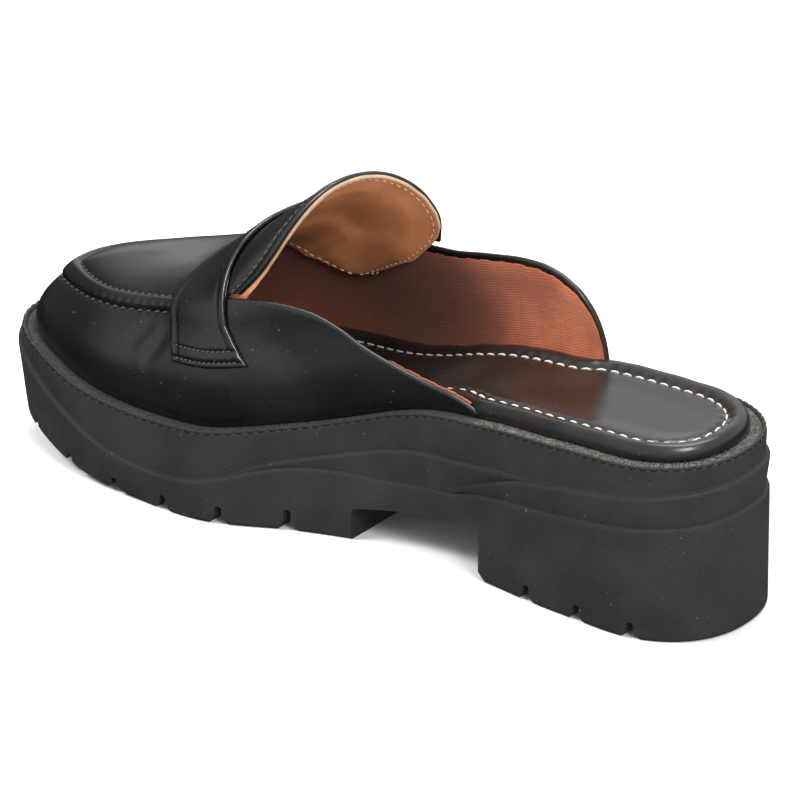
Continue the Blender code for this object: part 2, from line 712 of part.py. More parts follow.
def clear_scene():
    """Remove every object that the file opened with."""
    for thing in list(bpy.data.objects):
        bpy.data.objects.remove(thing, do_unlink=True)


def main():
    """Build the shoe from the ground up."""
    clear_scene()
    make_outsole()
    make_footbed()
    make_upper()
    make_strap()
    make_tongue()


main()
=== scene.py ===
"""Dressed model of a backless platform loafer, a slip-on clog for the right foot.

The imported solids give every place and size. Each class below is one sub-assembly of the shoe: it
repeats the design of its solid as a finer surface, replaces that solid and adds what is sewn or
moulded on it. +X runs to the toe, +Y to the inner side, +Z up from the floor, in metres.
"""

import logging
import math
from dataclasses import dataclass, field
from enum import Enum
from functools import cached_property
from typing import Callable, Optional

import bmesh
import bpy
import numpy as np
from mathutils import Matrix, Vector


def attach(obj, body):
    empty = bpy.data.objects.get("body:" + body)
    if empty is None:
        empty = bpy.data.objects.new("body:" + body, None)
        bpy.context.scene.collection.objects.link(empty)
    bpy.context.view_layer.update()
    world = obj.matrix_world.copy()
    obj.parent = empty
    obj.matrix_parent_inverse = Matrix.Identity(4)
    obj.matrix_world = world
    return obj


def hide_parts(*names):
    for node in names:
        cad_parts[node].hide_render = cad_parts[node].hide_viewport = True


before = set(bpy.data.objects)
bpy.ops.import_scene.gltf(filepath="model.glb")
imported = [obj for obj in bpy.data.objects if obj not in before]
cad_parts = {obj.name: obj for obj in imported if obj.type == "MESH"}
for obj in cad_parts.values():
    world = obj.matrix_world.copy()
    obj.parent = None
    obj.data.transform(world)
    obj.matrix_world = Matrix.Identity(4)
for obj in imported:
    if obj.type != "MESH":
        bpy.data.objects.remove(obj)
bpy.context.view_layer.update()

Array = np.ndarray
LOG = logging.getLogger("loafer")
BODY = "root"
MM = 0.001
TINY = 1e-12
UPRIGHT = np.array([0.0, 0.0, 1.0])


class Side(Enum):
    """Side of the shoe, by the sign of its Y coordinate."""

    MEDIAL = 1
    LATERAL = -1


class Slot(Enum):
    """Material slots of the record."""

    OUTSOLE = "outsole"
    FOOTBED = "footbed"
    UPPER = "upper"
    STRAP = "strap"
    TONGUE = "tongue"


def smooth_curve(places: Array, values: Array, place: Array) -> Array:
    """Smooth curve through rows: cubic pieces whose slope at a row is the mean of its neighbours'.

    Args:
        places: rising places of the rows.
        values: values at the rows.
        place: where the curve is read.

    Returns:
        The curve's values at place.
    """
    place = np.clip(place, places[0], places[-1])
    gap = np.diff(places)
    slope = np.diff(values) / gap
    tangent = np.empty(len(places))
    tangent[1:-1] = (slope[:-1] * gap[1:] + slope[1:] * gap[:-1]) / (gap[1:] + gap[:-1])
    tangent[0], tangent[-1] = slope[0], slope[-1]
    row = np.clip(np.searchsorted(places, place, side="right") - 1, 0, len(gap) - 1)
    t = (place - places[row]) / gap[row]
    start = (1 + 2 * t) * (1 - t) ** 2 * values[row] + t * (1 - t) ** 2 * gap[row] * tangent[row]
    end = t * t * (3 - 2 * t) * values[row + 1] - t * t * (1 - t) * gap[row] * tangent[row + 1]
    return start + end


def ease(t: Array) -> Array:
    """Soft step from 0 to 1: three t squared less two t cubed."""
    t = np.clip(t, 0.0, 1.0)
    return t * t * (3 - 2 * t)


def bell(distance: Array, width: float) -> Array:
    """Bell curve, 1 at distance 0 and fading over the width."""
    return np.exp(-((distance / width) ** 2))


def lay(x: Array, y: Array, z: Array) -> Array:
    """Stack three coordinate arrays of like shape as points."""
    return np.stack(np.broadcast_arrays(x, y, z), axis=-1)


def unit(vectors: Array) -> Array:
    """Vectors cut to length one."""
    return vectors / np.maximum(np.linalg.norm(vectors, axis=-1), TINY)[..., None]


def bezier(start: Array, pull_start: Array, pull_end: Array, end: Array, t: Array) -> Array:
    """Point on a cubic curve with two ends and two pulls, at shares t."""
    t = t[..., None]
    return ((1 - t) ** 3 * start + 3 * t * (1 - t) ** 2 * pull_start
            + 3 * t * t * (1 - t) * pull_end + t ** 3 * end)


def run_length(points: Array) -> Array:
    """Distance walked along a row of points, starting at 0."""
    return np.concatenate([[0.0], np.cumsum(np.linalg.norm(np.diff(points, axis=0), axis=-1))])


def row_walk(points: Array) -> Array:
    """Distance walked along each row of a grid of points, starting at 0."""
    steps = np.linalg.norm(np.diff(points, axis=1), axis=-1)
    return np.concatenate([np.zeros((len(points), 1)), np.cumsum(steps, axis=1)], axis=1)


@dataclass(frozen=True)
class Table:
    """Short table of sections; its first column is the place that the others are read at."""

    columns: tuple[str, ...]
    rows: tuple[tuple[float, ...], ...]

    @cached_property
    def values(self) -> Array:
        """Rows as an array."""
        return np.array(self.rows, dtype=float)

    def at(self, name: str, place: Array) -> Array:
        """Read one column at any place, along a smooth curve through the rows."""
        return smooth_curve(self.values[:, 0], self.values[:, self.columns.index(name)], place)


OUTLINE = Table(("station", "medial", "lateral"), (
    (0.00, 0.524, -0.438), (0.10, 0.504, -0.493), (0.20, 0.454, -0.540), (0.32, 0.328, -0.511),
    (0.44, 0.244, -0.488), (0.55, 0.292, -0.519), (0.66, 0.408, -0.583), (0.76, 0.405, -0.545),
    (0.86, 0.385, -0.455), (0.93, 0.368, -0.385), (1.00, 0.385, -0.325)))
RISE = Table(("station", "rise"), (
    (0.00, 1.000), (0.10, 0.943), (0.20, 0.880), (0.30, 0.785), (0.40, 0.650), (0.45, 0.520),
    (0.50, 0.362), (0.55, 0.230), (0.60, 0.132), (0.66, 0.042), (0.74, 0.000), (1.00, 0.000)))
SIDE_LINES = Table(("station", "upper", "leaf", "lower"), (
    (0.00, 0.880, 0.872, 0.680), (0.10, 0.830, 0.822, 0.640), (0.20, 0.775, 0.765, 0.595),
    (0.26, 0.757, 0.722, 0.578), (0.31, 0.750, 0.640, 0.556), (0.365, 0.738, 0.530, 0.506),
    (0.40, 0.745, 0.506, 0.500), (0.46, 0.745, 0.521, 0.515), (0.51, 0.735, 0.591, 0.585),
    (0.55, 0.705, 0.622, 0.616), (0.59, 0.655, 0.610, 0.602), (0.63, 0.550, 0.542, 0.534),
    (0.68, 0.455, 0.448, 0.441), (0.73, 0.432, 0.425, 0.418), (0.80, 0.478, 0.471, 0.464),
    (0.86, 0.610, 0.603, 0.596), (0.92, 0.720, 0.713, 0.706), (1.00, 0.900, 0.892, 0.884)))
LAST_SECTIONS = Table(
    ("station", "seam_inset", "seam_height", "crest_height", "crest_side", "slope", "shoulder", "brow"), (
        (0.26, 0.40, 1.00, 1.200, 0.06, 84, 0.46, 0.56),
        (0.45, 0.46, 1.00, 1.110, 0.08, 84, 0.46, 0.56),
        (0.56, 0.50, 1.04, 1.030, 0.09, 80, 0.43, 0.52),
        (0.66, 0.60, 1.03, 0.806, 0.09, 73, 0.43, 0.53),
        (0.72, 0.68, 1.00, 0.632, 0.08, 65, 0.39, 0.50),
        (0.80, 0.76, 0.94, 0.520, 0.05, 56, 0.33, 0.46),
        (0.88, 0.81, 0.84, 0.460, 0.03, 48, 0.28, 0.43),
        (0.95, 0.85, 0.69, 0.400, 0.01, 44, 0.26, 0.42),
        (1.00, 0.88, 0.56, 0.360, 0.00, 42, 0.26, 0.42)))
TOPLINES = {
    Side.MEDIAL: Table(("station", "height"), (
        (0.334, 0.05), (0.350, 0.10), (0.370, 0.15), (0.400, 0.21), (0.430, 0.30), (0.465, 0.44),
        (0.490, 0.565), (0.515, 0.71), (0.545, 0.845), (0.580, 0.945), (0.620, 0.995), (0.655, 1.01),
        (0.700, 1.02))),
    Side.LATERAL: Table(("station", "height"), (
        (0.272, 0.03), (0.277, 0.16), (0.287, 0.39), (0.303, 0.60), (0.323, 0.72), (0.350, 0.80),
        (0.385, 0.84), (0.440, 0.865), (0.490, 0.89), (0.540, 0.94), (0.600, 0.98), (0.655, 1.00),
        (0.700, 1.02))),
}
STRAP_SECTIONS = Table(("profile", "centre", "width"), (
    (0.29, 0.663, 1.00), (0.45, 0.682, 0.93), (0.56, 0.694, 0.83), (0.70, 0.699, 0.71),
    (0.85, 0.697, 0.63), (1.00, 0.694, 0.60)))
BAND = Table(("station", "outer", "width"), (
    (0.69, 0.545, 0.80), (0.75, 0.519, 0.85), (0.80, 0.481, 0.93), (0.85, 0.450, 1.00),
    (0.90, 0.424, 1.10), (0.95, 0.410, 1.25), (1.00, 0.404, 1.30)))
TONGUE_EDGE = Table(("rise", "medial", "lateral"), (
    (0.00, 0.632, 0.520), (0.13, 0.616, 0.514), (0.28, 0.606, 0.524), (0.50, 0.598, 0.548),
    (0.75, 0.591, 0.572), (1.00, 0.585, 0.585)))
LINING_COLUMNS = ("rise", "free_station", "free_profile", "sewn_station", "sewn_profile")
TONGUE_LINING = {
    Side.MEDIAL: Table(LINING_COLUMNS, (
        (0.00, 0.690, 0.400, 0.690, 0.400), (0.10, 0.676, 0.425, 0.700, 0.415),
        (0.20, 0.660, 0.460, 0.712, 0.440), (0.30, 0.647, 0.500, 0.724, 0.470),
        (0.40, 0.638, 0.535, 0.735, 0.505), (0.50, 0.6295, 0.570, 0.744, 0.545),
        (0.60, 0.6150, 0.620, 0.751, 0.590), (0.70, 0.6045, 0.685, 0.757, 0.660),
        (0.80, 0.5960, 0.780, 0.761, 0.760), (0.90, 0.5890, 0.885, 0.764, 0.880),
        (1.00, 0.5825, 1.000, 0.765, 1.000))),
    Side.LATERAL: Table(LINING_COLUMNS, (
        (0.00, 0.668, 0.385, 0.668, 0.385), (0.10, 0.640, 0.388, 0.688, 0.399),
        (0.20, 0.611, 0.421, 0.706, 0.432), (0.30, 0.575, 0.475, 0.722, 0.470),
        (0.40, 0.541, 0.525, 0.735, 0.505), (0.50, 0.520, 0.560, 0.744, 0.545),
        (0.60, 0.512, 0.605, 0.751, 0.590), (0.70, 0.522, 0.672, 0.757, 0.660),
        (0.80, 0.545, 0.766, 0.761, 0.760), (0.90, 0.568, 0.880, 0.764, 0.880),
        (1.00, 0.5825, 1.000, 0.765, 1.000))),
}
# Welt section rows: inset, scallop swing, height, scallop lift, and a share for the rubber: near-black painted shade
# along the crease below 0, a trace of dust above 0.
WELT_SECTION = (
    (0.00170, 0.00042, -0.0016, 0.0, -1.0),
    (0.00160, 0.00042, -0.0006, 0.0, -1.0),
    (0.00162, 0.00040, -0.0001, 0.0, -0.6),
    (0.00172, 0.00034, 0.00022, 0.00010, 0.0),
    (0.00195, 0.00022, 0.00034, 0.00010, 0.1),
    (0.00225, 0.00006, 0.00028, 0.00004, 0.1),
    (0.00245, 0.0, 0.00014, 0.0, 0.0),
    (0.00262, 0.0, -0.00006, 0.0, -0.4),
    (0.00270, 0.0, -0.0016, 0.0, -0.5),
)


@dataclass(frozen=True)
class Plan:
    """Plan outline of the sole and the heights of its top and its tread."""

    length: float = 0.262
    ball_width: float = 0.0955
    heel_width: float = 0.063
    heel_height: float = 0.056
    platform_height: float = 0.0277
    toe_lift: float = 0.010
    toe_spring: float = 0.0105
    heel_round: float = 0.13
    toe_round: float = 0.20
    end_power: float = 2.25

    def width(self, station: Array) -> Array:
        """Width that the outline's shares follow, growing from heel to ball."""
        return self.heel_width + (self.ball_width - self.heel_width) * ease((station - 0.15) / 0.45)

    def side_offsets(self, station: Array) -> tuple[Array, Array]:
        """Centre line and half width; both ends close as superellipses."""
        power = self.end_power
        heel = np.clip(1 - station / self.heel_round, 0, 1)
        toe = np.clip(1 - (1 - station) / self.toe_round, 0, 1)
        ends = (1 - heel ** power) ** (1 / power) * (1 - toe ** power) ** (1 / power)
        width = self.width(station)
        medial, lateral = OUTLINE.at("medial", station) * width, OUTLINE.at("lateral", station) * width
        return (medial + lateral) / 2, (medial - lateral) / 2 * ends

    @cached_property
    def middle(self) -> float:
        """Middle of the plan across the shoe, which goes on the X axis."""
        centre, half = self.side_offsets(np.linspace(0, 1, 801))
        return float((np.max(centre + half) + np.min(centre - half)) / 2)

    def station_of(self, turn: Array) -> Array:
        """Station of a place on the ring; turn runs 0 heel, inner side, 0.5 toe, outer side, 1."""
        return 0.5 - 0.5 * np.cos(2 * math.pi * np.asarray(turn, dtype=float))

    def turn_of(self, station: Array, side: Array) -> Array:
        """Place on the ring of a station on the inner (+1) or outer (-1) side."""
        turn = np.arccos(1 - 2 * np.clip(station, 0.0, 1.0)) / (2 * math.pi)
        return np.where(np.asarray(side) > 0, turn, 1 - turn)

    def point(self, turn: Array) -> tuple[Array, Array]:
        """Plan coordinates of a place on the outline ring."""
        station = self.station_of(turn)
        centre, half = self.side_offsets(station)
        side = np.where(np.asarray(turn) % 1.0 <= 0.5, 1.0, -1.0)
        return (station - 0.5) * self.length, centre - self.middle + side * half

    def ring(self, turn: Array, inset: Array) -> tuple[Array, Array]:
        """Plan coordinates of the outline moved inward by an inset, square to the outline."""
        nudge = 0.0005
        x, y = self.point(turn)
        x_next, y_next = self.point(np.asarray(turn) + nudge)
        x_back, y_back = self.point(np.asarray(turn) - nudge)
        run_x, run_y = x_next - x_back, y_next - y_back
        run = np.hypot(run_x, run_y)
        return x + run_y / run * inset, y - run_x / run * inset

    def top(self, x: Array) -> Array:
        """Height of the sole's flat top at an X coordinate."""
        station = x / self.length + 0.5
        lift = self.toe_lift * np.clip((station - 0.74) / 0.26, 0, 1) ** 1.6
        return self.platform_height + (self.heel_height - self.platform_height) * RISE.at("rise", station) + lift

    def bottom(self, x: Array) -> Array:
        """Height of the tread: flat on the floor, then the toe spring."""
        return self.toe_spring * np.clip((x / self.length + 0.5 - 0.70) / 0.30, 0, 1) ** 2

    def even_turns(self, count: int, inset: float = 0.0) -> Array:
        """Places on the ring that stand evenly along its length, without the closing one."""
        fine = np.linspace(0, 1, 4001)
        x, y = self.ring(fine, inset)
        walked = run_length(np.stack([x, y], axis=-1))
        return np.interp(np.arange(count) / count * walked[-1], walked, fine)


@dataclass(frozen=True)
class Last:
    """Smooth outer surface of the upper, from the feather edge at the sole to the crest."""

    plan: Plan = field(default_factory=Plan)
    ledge_inset: float = 0.0060
    seat_clearance: float = 0.0003
    wall: float = 0.0019
    wall_bulge: float = 0.0026
    seam_height: float = 0.0300
    seam_inset: float = 0.0190
    instep_height: float = 0.0700
    quarter_height: float = 0.0390
    fan_station: float = 0.830
    fan_softness: float = 0.050
    feather_pull: float = 0.38
    seam_pull: float = 0.34
    band_width: float = 0.0060
    throat_corner: float = 0.655
    throat_crest: float = 0.690

    def crest_point(self, station: Array) -> Array:
        """Point on the crest line of the upper and the tongue."""
        plan = self.plan
        x = (station - 0.5) * plan.length
        centre, _ = plan.side_offsets(station)
        y = centre - plan.middle + LAST_SECTIONS.at("crest_side", station) * plan.width(station)
        return lay(x, y, plan.top(x) + self.instep_height * LAST_SECTIONS.at("crest_height", station))

    def crest_station(self, station: Array) -> Array:
        """Station where a profile meets the crest; at the toe the profiles fan out from one place."""
        return station - self.fan_softness * np.log1p(np.exp((station - self.fan_station) / self.fan_softness))

    def crest_slope(self, station: Array) -> Array:
        """Rise of the crest line for each metre forward, where the profiles of a station meet it."""
        nudge = 0.004
        place = self.crest_station(station)
        run = self.crest_point(place + nudge) - self.crest_point(place - nudge)
        return run[..., 2] / run[..., 0]

    def landmarks(self, turn: Array) -> tuple[Array, Array, Array]:
        """Feather, seam and crest points of the profiles at places on the ring."""
        plan = self.plan
        station = plan.station_of(turn)
        x, y = plan.ring(turn, self.ledge_inset)
        feather = lay(x, y, plan.top(x) + self.seat_clearance)
        x, y = plan.ring(turn, self.seam_inset * LAST_SECTIONS.at("seam_inset", station))
        rim = plan.top((station - 0.5) * plan.length)
        seam = lay(x, y, rim + self.seam_height * LAST_SECTIONS.at("seam_height", station))
        return feather, seam, self.crest_point(self.crest_station(station))

    def surface(self, turn: Array, profile: Array) -> Array:
        """Point of the last: one cubic up the wall to the seam (0.5), one over it to the crest (1)."""
        turn, profile = np.broadcast_arrays(np.asarray(turn, float), np.asarray(profile, float))
        feather, seam, crest = self.landmarks(turn)
        inward = crest - seam
        reach = np.hypot(inward[..., 0], inward[..., 1])
        inward = inward / reach[..., None] * np.array([1.0, 1.0, 0.0])
        outward_x, outward_y = self.plan.ring(turn, self.ledge_inset - self.wall_bulge)
        bulge = lay(outward_x - feather[..., 0], outward_y - feather[..., 1], np.zeros(turn.shape))
        station = self.plan.station_of(turn)
        slope = np.radians(LAST_SECTIONS.at("slope", station))[..., None]
        along = inward * np.cos(slope) + UPRIGHT * np.sin(slope)
        rise = (seam[..., 2] - feather[..., 2])[..., None]
        wall = bezier(feather, feather + bulge + UPRIGHT * rise * self.feather_pull,
                      seam - along * rise * self.seam_pull, seam, np.clip(profile * 2, 0, 1))
        span = np.linalg.norm(crest - seam, axis=-1)[..., None]
        shoulder = along * span * LAST_SECTIONS.at("shoulder", station)[..., None]
        brow = inward * (reach * LAST_SECTIONS.at("brow", station))[..., None]
        brow[..., 2] = brow[..., 0] * self.crest_slope(station)
        plug = bezier(seam, seam + shoulder, crest - brow, crest, np.clip(profile * 2 - 1, 0, 1))
        return np.where((profile <= 0.5)[..., None], wall, plug)

    def normal(self, turn: Array, profile: Array) -> Array:
        """Outward direction of the last: the cross product of its two slopes, plumb on the crest."""
        nudge = 0.0004
        turn, profile = np.broadcast_arrays(np.asarray(turn, float), np.asarray(profile, float))
        along = self.surface(turn + nudge, profile) - self.surface(turn - nudge, profile)
        low, high = np.clip(profile - nudge, 0, 1), np.clip(profile + nudge, 0, 1)
        normal = unit(np.cross(self.surface(turn, high) - self.surface(turn, low), along))
        station = self.crest_station(self.plan.station_of(turn))
        run = self.crest_point(station + nudge) - self.crest_point(station - nudge)
        top = unit(lay(-run[..., 2], np.zeros(turn.shape), run[..., 0]))
        return np.where((profile > 0.9999)[..., None], top, normal)

    def band_edges(self, turn: Array) -> tuple[Array, Array]:
        """Profile places of the apron's outer seam and of its inner seam, a band width above it."""
        station = self.plan.station_of(turn)
        outer = BAND.at("outer", station)
        step = 0.05
        reach = np.linalg.norm(self.surface(turn, outer + step) - self.surface(turn, outer), axis=-1)
        return outer, outer + step * self.band_width * BAND.at("width", station) / reach

    def pace(self, turn: Array, profile: Array) -> Array:
        """Metres walked up the profile for one unit of it, at each place."""
        nudge = 0.002
        low, high = np.clip(profile - nudge, 0, 1), np.clip(profile + nudge, 0, 1)
        step = np.linalg.norm(self.surface(turn, high) - self.surface(turn, low), axis=-1)
        return step / (high - low)

    def place_below(self, turn: Array, top: Array, distance: Array) -> Array:
        """Profile place that lies a distance below another one, walked down the profile.

        Args:
            turn: places on the ring.
            top: profile places that the walks start at.
            distance: metres to walk down at each of them.

        Returns:
            The profile places reached.
        """
        share = np.linspace(0, 1, 241)
        walked = row_walk(self.surface(turn[:, None], top[:, None] * (1 - share)[None, :]))
        after = np.sum(walked < distance[:, None], axis=1).clip(1, len(share) - 1)
        row = np.arange(len(turn))
        low, high = walked[row, after - 1], walked[row, after]
        part = np.clip((distance - low) / np.maximum(high - low, TINY), 0, 1)
        return top * (1 - share[after - 1] - part * share[1])

    def topline(self, station: Array, side: Side) -> Array:
        """Profile place of a quarter's topline, found by its height above the sole."""
        station = np.atleast_1d(station)
        places = np.linspace(0.0, 1.0, 161)
        turn = self.plan.turn_of(station, side.value)
        heights = self.surface(turn[:, None], places[None, :])[..., 2]
        heights = heights - self.plan.top((station - 0.5) * self.plan.length)[:, None]
        wanted = self.quarter_height * TOPLINES[side].at("height", station)
        below = np.sum(heights < wanted[:, None], axis=1).clip(1, len(places) - 1)
        row = np.arange(len(station))
        low, high = heights[row, below - 1], heights[row, below]
        share = np.clip((wanted - low) / np.maximum(high - low, TINY), 0, 1)
        return places[below - 1] + share * (places[1] - places[0])

    def throat_rise(self, station: Array) -> Array:
        """How far up the profile the vamp's back edge has run, 0 at the topline and 1 at the crest."""
        return np.clip((station - self.throat_corner) / (self.throat_crest - self.throat_corner), 0, 1)


PLAN = Plan()
LAST = Last(PLAN)


@dataclass(frozen=True)
class Crease:
    """Soft trough worn into the leather between two places, with low swellings beside it."""

    side: Side
    start: tuple[float, float]
    end: tuple[float, float]
    depth: float
    width: float

    def ends(self) -> list[Array]:
        """Both ends on the last, from their stations and profile places."""
        return [LAST.surface(PLAN.turn_of(station, self.side.value), np.array(profile))
                for station, profile in (self.start, self.end)]

    def height_at(self, points: Array) -> Array:
        """Height change at points: a bell across the line, faded towards both of its ends."""
        start, end = self.ends()
        run = end - start
        share = np.clip((points - start) @ run / (run @ run), 0, 1)
        distance = np.linalg.norm(points - start - share[..., None] * run, axis=-1)
        fade = ease(share / 0.35) * ease((1 - share) / 0.35)
        trough = bell(distance, self.width) - 0.45 * bell(distance - 2.0 * self.width, self.width)
        return -self.depth * fade * trough


CREASES = (
    Crease(Side.MEDIAL, (0.735, 0.44), (0.768, 0.22), 0.00024, 0.0021),
    Crease(Side.MEDIAL, (0.755, 0.45), (0.796, 0.28), 0.00017, 0.0026),
    Crease(Side.MEDIAL, (0.770, 0.72), (0.745, 0.92), 0.00015, 0.0030),
    Crease(Side.MEDIAL, (0.600, 0.46), (0.545, 0.22), 0.00020, 0.0050),
    Crease(Side.LATERAL, (0.735, 0.44), (0.772, 0.24), 0.00022, 0.0022),
    Crease(Side.LATERAL, (0.758, 0.46), (0.800, 0.30), 0.00016, 0.0027),
    Crease(Side.LATERAL, (0.560, 0.52), (0.500, 0.26), 0.00020, 0.0050),
)


def grid_faces(rows: int, columns: int, start: int = 0, wrap: bool = False) -> Array:
    """Corner numbers of the quads of a grid, row by row.

    Args:
        rows: number of rows of points.
        columns: number of points in a row.
        start: number of the grid's first point.
        wrap: whether the last column joins the first.

    Returns:
        An array of four corner numbers a quad.
    """
    row = np.arange(rows - 1)[:, None] * columns
    column = np.arange(columns if wrap else columns - 1)[None, :]
    after = (column + 1) % columns
    corners = [row + column, row + after, row + columns + after, row + columns + column]
    return np.stack(np.broadcast_arrays(*corners), axis=-1).reshape(-1, 4) + start


def make_piece(name: str, points: Array, faces: Array, finish: bpy.types.Material,
               weave: Optional[Array] = None, dust_and_painted_shade: Optional[Array] = None,
               sharp: float = 40.0) -> bpy.types.Object:
    """Make one closed piece of the shoe that rides on its body.

    Args:
        name: plain name of the piece.
        points: coordinates, one row a point.
        faces: corner numbers, four a face; a face whose corners merge becomes a triangle.
        finish: its material.
        weave: cloth coordinates of each face corner, in metres along and up the piece.
        dust_and_painted_shade: share of each point that its finish reads: dust on the rubber from 0 to 1, painted shade
            on the rubber below 0, and painted shade on the lining cloth.
        sharp: edges that turn by more than this many degrees stay crisp.

    Returns:
        The finished object.
    """
    mesh = bpy.data.meshes.new(name)
    mesh.vertices.add(len(points))
    mesh.vertices.foreach_set("co", np.ascontiguousarray(points, dtype=np.float32).ravel())
    mesh.loops.add(faces.size)
    mesh.loops.foreach_set("vertex_index", faces.astype(np.int32).ravel())
    mesh.polygons.add(len(faces))
    mesh.polygons.foreach_set("loop_start", np.arange(len(faces), dtype=np.int32) * faces.shape[1])
    mesh.update(calc_edges=True)
    if weave is not None:
        layer = mesh.uv_layers.new(name="weave")
        layer.data.foreach_set("uv", np.ascontiguousarray(weave, dtype=np.float32).ravel())
    if dust_and_painted_shade is not None:
        layer = mesh.attributes.new("dust_and_painted_shade", "FLOAT", "POINT")
        layer.data.foreach_set("value", np.ascontiguousarray(dust_and_painted_shade, dtype=np.float32).ravel())
    shape = bmesh.new()
    shape.from_mesh(mesh)
    bmesh.ops.remove_doubles(shape, verts=shape.verts, dist=0.000004)
    bmesh.ops.dissolve_degenerate(shape, edges=shape.edges, dist=0.000002)
    bmesh.ops.recalc_face_normals(shape, faces=shape.faces)
    shape.to_mesh(mesh)
    shape.free()
    mesh.shade_smooth()
    mesh.set_sharp_from_angle(angle=math.radians(sharp))
    mesh.materials.append(finish)
    piece = bpy.data.objects.new(name, mesh)
    bpy.context.collection.objects.link(piece)
    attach(piece, BODY)
    report(piece)
    return piece


def report(piece: bpy.types.Object) -> None:
    """Log a piece's name and size."""
    LOG.info("%s: %d faces", piece.name, len(piece.data.polygons))


def corner_cloth(cloth: Array, rows: int, columns: int, wrap: bool = False) -> Array:
    """Cloth coordinates of every face corner of a grid, from one pair a point.

    Args:
        cloth: array (rows, columns + 1 where wrapped, 2).
        rows: rows of the grid.
        columns: columns of the grid.
        wrap: whether the last column joins the first.

    Returns:
        An array (faces, 4, 2).
    """
    wide = columns + 1 if wrap else columns
    return cloth.reshape(-1, 2)[grid_faces(rows, wide)]


class Nodes:
    """Node tree of one finish while it is being put together."""

    def __init__(self, name: str) -> None:
        """Start a material with its principled shader."""
        self.material = bpy.data.materials.new(name)
        self.material.use_nodes = True
        self.tree = self.material.node_tree
        self.shader = self.tree.nodes["Principled BSDF"]
        self.place = self.tree.nodes.new("ShaderNodeTexCoord").outputs["Object"]

    def put(self, kind: str, **settings: object) -> bpy.types.Node:
        """Add a node with its settings."""
        node = self.tree.nodes.new(kind)
        for key, value in settings.items():
            setattr(node, key, value)
        return node

    def feed(self, socket: bpy.types.NodeSocket, value: object) -> None:
        """Link a socket or set its value."""
        if isinstance(value, bpy.types.NodeSocket):
            self.tree.links.new(value, socket)
        elif isinstance(value, tuple) and len(value) == 3 and socket.type == "RGBA":
            socket.default_value = (*value, 1.0)
        else:
            socket.default_value = value

    def math(self, operation: str, first: object, second: object = 0.0, clamp: bool = False) -> bpy.types.NodeSocket:
        """Arithmetic on two values."""
        node = self.put("ShaderNodeMath", operation=operation, use_clamp=clamp)
        self.feed(node.inputs[0], first)
        self.feed(node.inputs[1], second)
        return node.outputs[0]

    def spread(self, value: object, low: float, high: float, start: float = 0.0, end: float = 1.0) -> bpy.types.NodeSocket:
        """Map a value's range low to high on start to end, softly and without going past it."""
        node = self.put("ShaderNodeMapRange", interpolation_type="SMOOTHSTEP")
        for socket, given in zip(("Value", "From Min", "From Max", "To Min", "To Max"),
                                 (value, low, high, start, end)):
            self.feed(node.inputs[socket], given)
        return node.outputs["Result"]

    def noise(self, size: float, detail: float = 2.0, place: object = None, rough: float = 0.5) -> bpy.types.NodeSocket:
        """Cloudy pattern whose features are about size metres across."""
        node = self.put("ShaderNodeTexNoise")
        self.feed(node.inputs["Vector"], self.place if place is None else place)
        self.feed(node.inputs["Scale"], 1.0 / size)
        self.feed(node.inputs["Detail"], detail)
        self.feed(node.inputs["Roughness"], rough)
        return node.outputs["Fac"]

    def cells(self, size: float, feature: str = "F1", place: object = None) -> bpy.types.NodeSocket:
        """Distance pattern of cells about size metres across."""
        node = self.put("ShaderNodeTexVoronoi", feature=feature)
        self.feed(node.inputs["Vector"], self.place if place is None else place)
        self.feed(node.inputs["Scale"], 1.0 / size)
        return node.outputs["Distance"]

    def blend(self, share: object, first: object, second: object) -> bpy.types.NodeSocket:
        """Mix two colours."""
        node = self.put("ShaderNodeMix", data_type="RGBA")
        self.feed(node.inputs[0], share)
        self.feed(node.inputs[6], first)
        self.feed(node.inputs[7], second)
        return node.outputs[2]

    def cloth(self) -> tuple[bpy.types.NodeSocket, bpy.types.NodeSocket]:
        """Cloth coordinates of the piece: metres along it and metres up it."""
        parts = self.put("ShaderNodeSeparateXYZ")
        self.feed(parts.inputs[0], self.put("ShaderNodeUVMap", uv_map="weave").outputs[0])
        return parts.outputs[0], parts.outputs[1]

    def dust_and_painted_shade(self) -> bpy.types.NodeSocket:
        """Share of dust and of painted shade that the piece carries."""
        return self.put("ShaderNodeAttribute", attribute_name="dust_and_painted_shade").outputs["Fac"]

    def ribs(self, along: object, pitch: float) -> bpy.types.NodeSocket:
        """Rounded ribs: half of one plus the sine of the distance along them."""
        turns = self.math("MULTIPLY", along, 2 * math.pi / pitch)
        return self.math("MULTIPLY_ADD", self.math("SINE", turns), 0.5)

    def lean(self, u: object, v: object, degrees: float) -> bpy.types.NodeSocket:
        """Distance square to lines that lean by an angle in the cloth."""
        first = self.math("MULTIPLY", u, math.cos(math.radians(degrees)))
        return self.math("ADD", first, self.math("MULTIPLY", v, math.sin(math.radians(degrees))))

    def relief(self, height: object, distance: float, strength: float = 1.0) -> None:
        """Raise the surface by a height pattern on top of what is there."""
        bump = self.put("ShaderNodeBump")
        self.feed(bump.inputs["Strength"], strength)
        self.feed(bump.inputs["Distance"], distance)
        self.feed(bump.inputs["Height"], height)
        before = self.shader.inputs["Normal"].links
        if before:
            self.feed(bump.inputs["Normal"], before[0].from_socket)
        self.feed(self.shader.inputs["Normal"], bump.outputs[0])

    def set(self, **values: object) -> None:
        """Set or link the shader's sockets by name, with _ for a space."""
        for key, value in values.items():
            self.feed(self.shader.inputs[key.replace("_", " ")], value)


